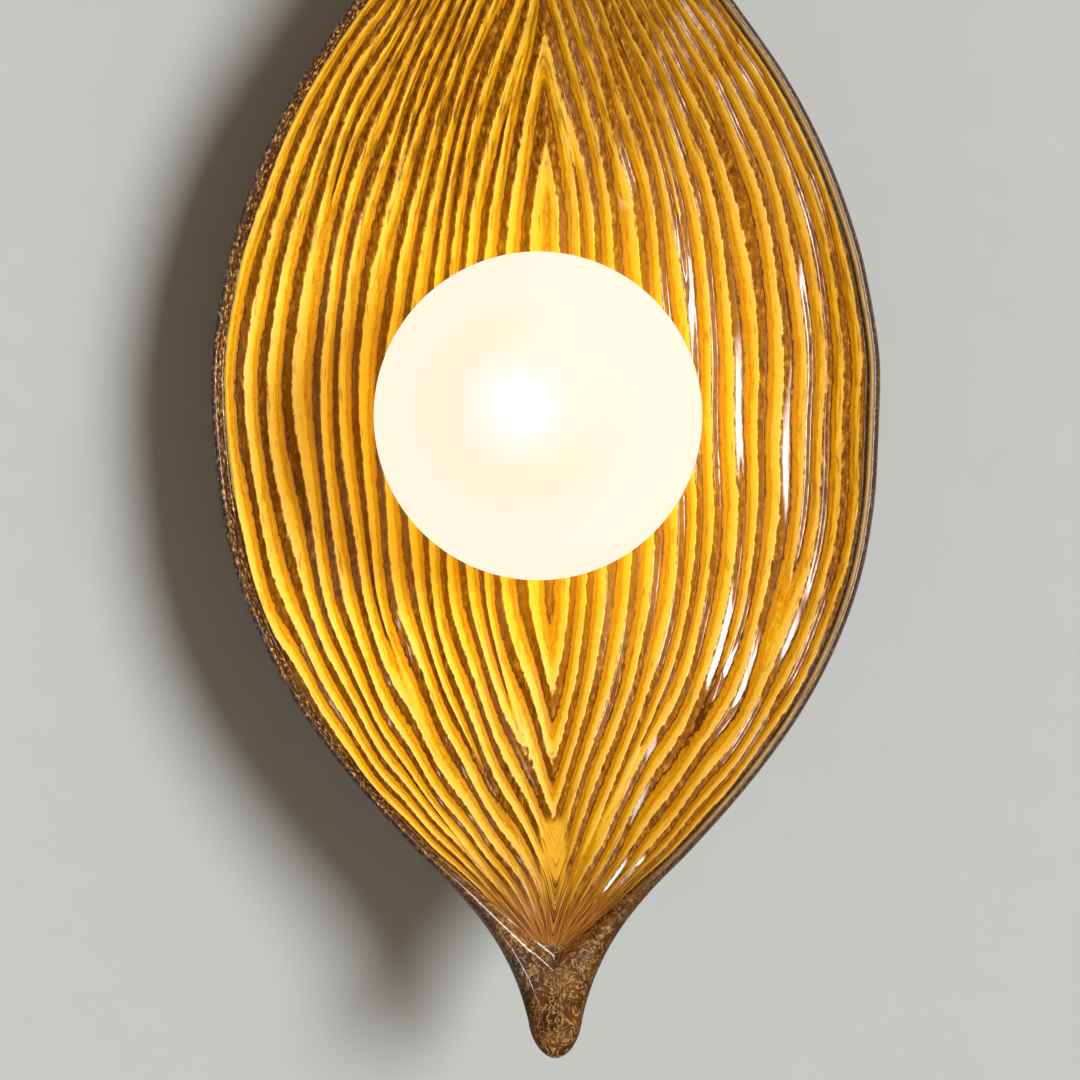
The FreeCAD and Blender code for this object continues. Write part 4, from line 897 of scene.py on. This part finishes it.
def dress_nodes():
    """each carried-over node gets the material of its slot"""
    made = {"earth_insulation": striped_material("earth_insulation"), "opal_glass": globe_material()}
    for slot, (colour, *values) in PLAIN_MATERIALS.items():
        made[slot] = plain_material(slot, linear(*colour), *values)
    for part in frame["record"]["subparts"]:
        node = frame["nodes"][part["node"]]
        if part["material_slot"] in made:
            for place in node.material_slots:
                place.material = made[part["material_slot"]]


# Stage and lights

def plane(name, corners, material):
    mesh = bpy.data.meshes.new(name)
    mesh.from_pydata(corners, [], [(0, 1, 2, 3)])
    mesh.materials.append(material)
    obj = bpy.data.objects.new(name, mesh)
    bpy.context.collection.objects.link(obj)


def add_stage():
    reach, low = STAGE_REACH, FLOOR_HEIGHT
    plane("wall", [(-reach, WALL_GAP, low), (reach, WALL_GAP, low), (reach, WALL_GAP, low + 2 * reach),
                   (-reach, WALL_GAP, low + 2 * reach)], wall_material())
    floor = plain_material("floor", WALL_COLOUR + (1.0,), FLOOR_ROUGHNESS, 0.0, FLOOR_GRAIN,
                           FLOOR_CONTRAST)
    plane("floor", [(-reach, -reach, low), (reach, -reach, low), (reach, reach, low),
                    (-reach, reach, low)], floor)


def add_lamp(name, kind, place, aim, energy, **settings):
    data = bpy.data.lights.new(name, kind)
    data.energy = energy
    for key, value in settings.items():
        setattr(data, key, value)
    lamp = bpy.data.objects.new(name, data)
    bpy.context.collection.objects.link(lamp)
    lamp.location = place
    lamp.rotation_euler = (Vector(aim) - Vector(place)).to_track_quat("-Z", "Y").to_euler()
    return lamp


def add_gloss_lamp(name, place, aim, energy, shape, **settings):
    """a lamp that shows in gloss only"""
    lamp = add_lamp(name, "AREA", place, aim, energy, shape=shape, **settings)
    lamp.visible_diffuse = False


def add_lights():
    add_lamp("key", "SUN", KEY_PLACE, (0, 0, 0), KEY_STRENGTH, angle=KEY_ANGLE, color=KEY_COLOUR)
    add_gloss_lamp("strip", STRIP_PLACE, GLOSS_AIM, STRIP_POWER, "RECTANGLE", size=STRIP_WIDTH,
                   size_y=STRIP_HEIGHT)
    add_gloss_lamp("side", SIDE_PLACE, GLOSS_AIM, SIDE_POWER, "RECTANGLE", size=SIDE_WIDTH,
                   size_y=SIDE_HEIGHT)
    add_gloss_lamp("high", HIGH_PLACE, HIGH_AIM, HIGH_POWER, "SQUARE", size=HIGH_SIZE)
    add_lamp("back", "AREA", BACK_PLACE, (0, 0, 0), BACK_POWER, shape="SQUARE", size=BACK_SIZE)
    middle = (0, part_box("glass_globe")[0][1] + GLOBE_RADIUS, 0)
    glow = add_lamp("globe_glow", "POINT", middle, (0, -1, 0), GLOBE_POWER, color=GLOBE_LIGHT,
                    shadow_soft_size=GLOBE_RADIUS * GLOBE_LIGHT_SHARE, use_soft_falloff=False)
    glow.visible_camera = False
    glow.visible_glossy = False


def add_world():
    """warm light from all round, and a backdrop in the wall's colour that shows in gloss too"""
    world = bpy.data.worlds.new("world")
    bpy.context.scene.world = world
    world.use_nodes = True
    tree = world.node_tree
    tree.nodes.clear()
    light = tree.nodes.new("ShaderNodeBackground")
    light.inputs["Color"].default_value = WORLD_COLOUR
    light.inputs["Strength"].default_value = WORLD_STRENGTH
    seen = tree.nodes.new("ShaderNodeBackground")
    seen.inputs["Color"].default_value = WALL_COLOUR + (1.0,)
    mixed = tree.nodes.new("ShaderNodeMixShader")
    path = tree.nodes.new("ShaderNodeLightPath")
    output = tree.nodes.new("ShaderNodeOutputWorld")
    either = path.outputs["Is Camera Ray"]
    for other in ("Is Glossy Ray", "Is Transmission Ray"):
        both = tree.nodes.new("ShaderNodeMath")
        both.operation = "MAXIMUM"
        tree.links.new(either, both.inputs[0])
        tree.links.new(path.outputs[other], both.inputs[1])
        either = both.outputs[0]
    tree.links.new(either, mixed.inputs[0])
    tree.links.new(light.outputs[0], mixed.inputs[1])
    tree.links.new(seen.outputs[0], mixed.inputs[2])
    tree.links.new(mixed.outputs[0], output.inputs["Surface"])


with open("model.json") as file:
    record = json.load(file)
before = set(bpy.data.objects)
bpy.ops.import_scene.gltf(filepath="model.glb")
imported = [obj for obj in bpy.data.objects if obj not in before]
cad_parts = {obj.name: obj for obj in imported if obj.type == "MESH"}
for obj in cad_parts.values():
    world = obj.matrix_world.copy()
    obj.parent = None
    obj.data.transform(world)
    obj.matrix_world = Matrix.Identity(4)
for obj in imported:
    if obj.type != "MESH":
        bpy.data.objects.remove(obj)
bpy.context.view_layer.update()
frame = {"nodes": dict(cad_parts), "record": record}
GLOBE_RADIUS = (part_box("glass_globe")[1][0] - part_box("glass_globe")[0][0]) / 2
LEAF_FRONT = -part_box("leaf_pad_front")[1][1]
LEAF_BACK = -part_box("leaf_pad_back")[0][1]

bpy.context.scene.view_settings.view_transform = "Standard"
add_camera()
dress_nodes()
leaf = build_leaf()
leaf.data.materials.append(leaf_material())
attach(leaf, "fixture")
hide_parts("leaf_body")
add_stage()
add_lights()
add_world()
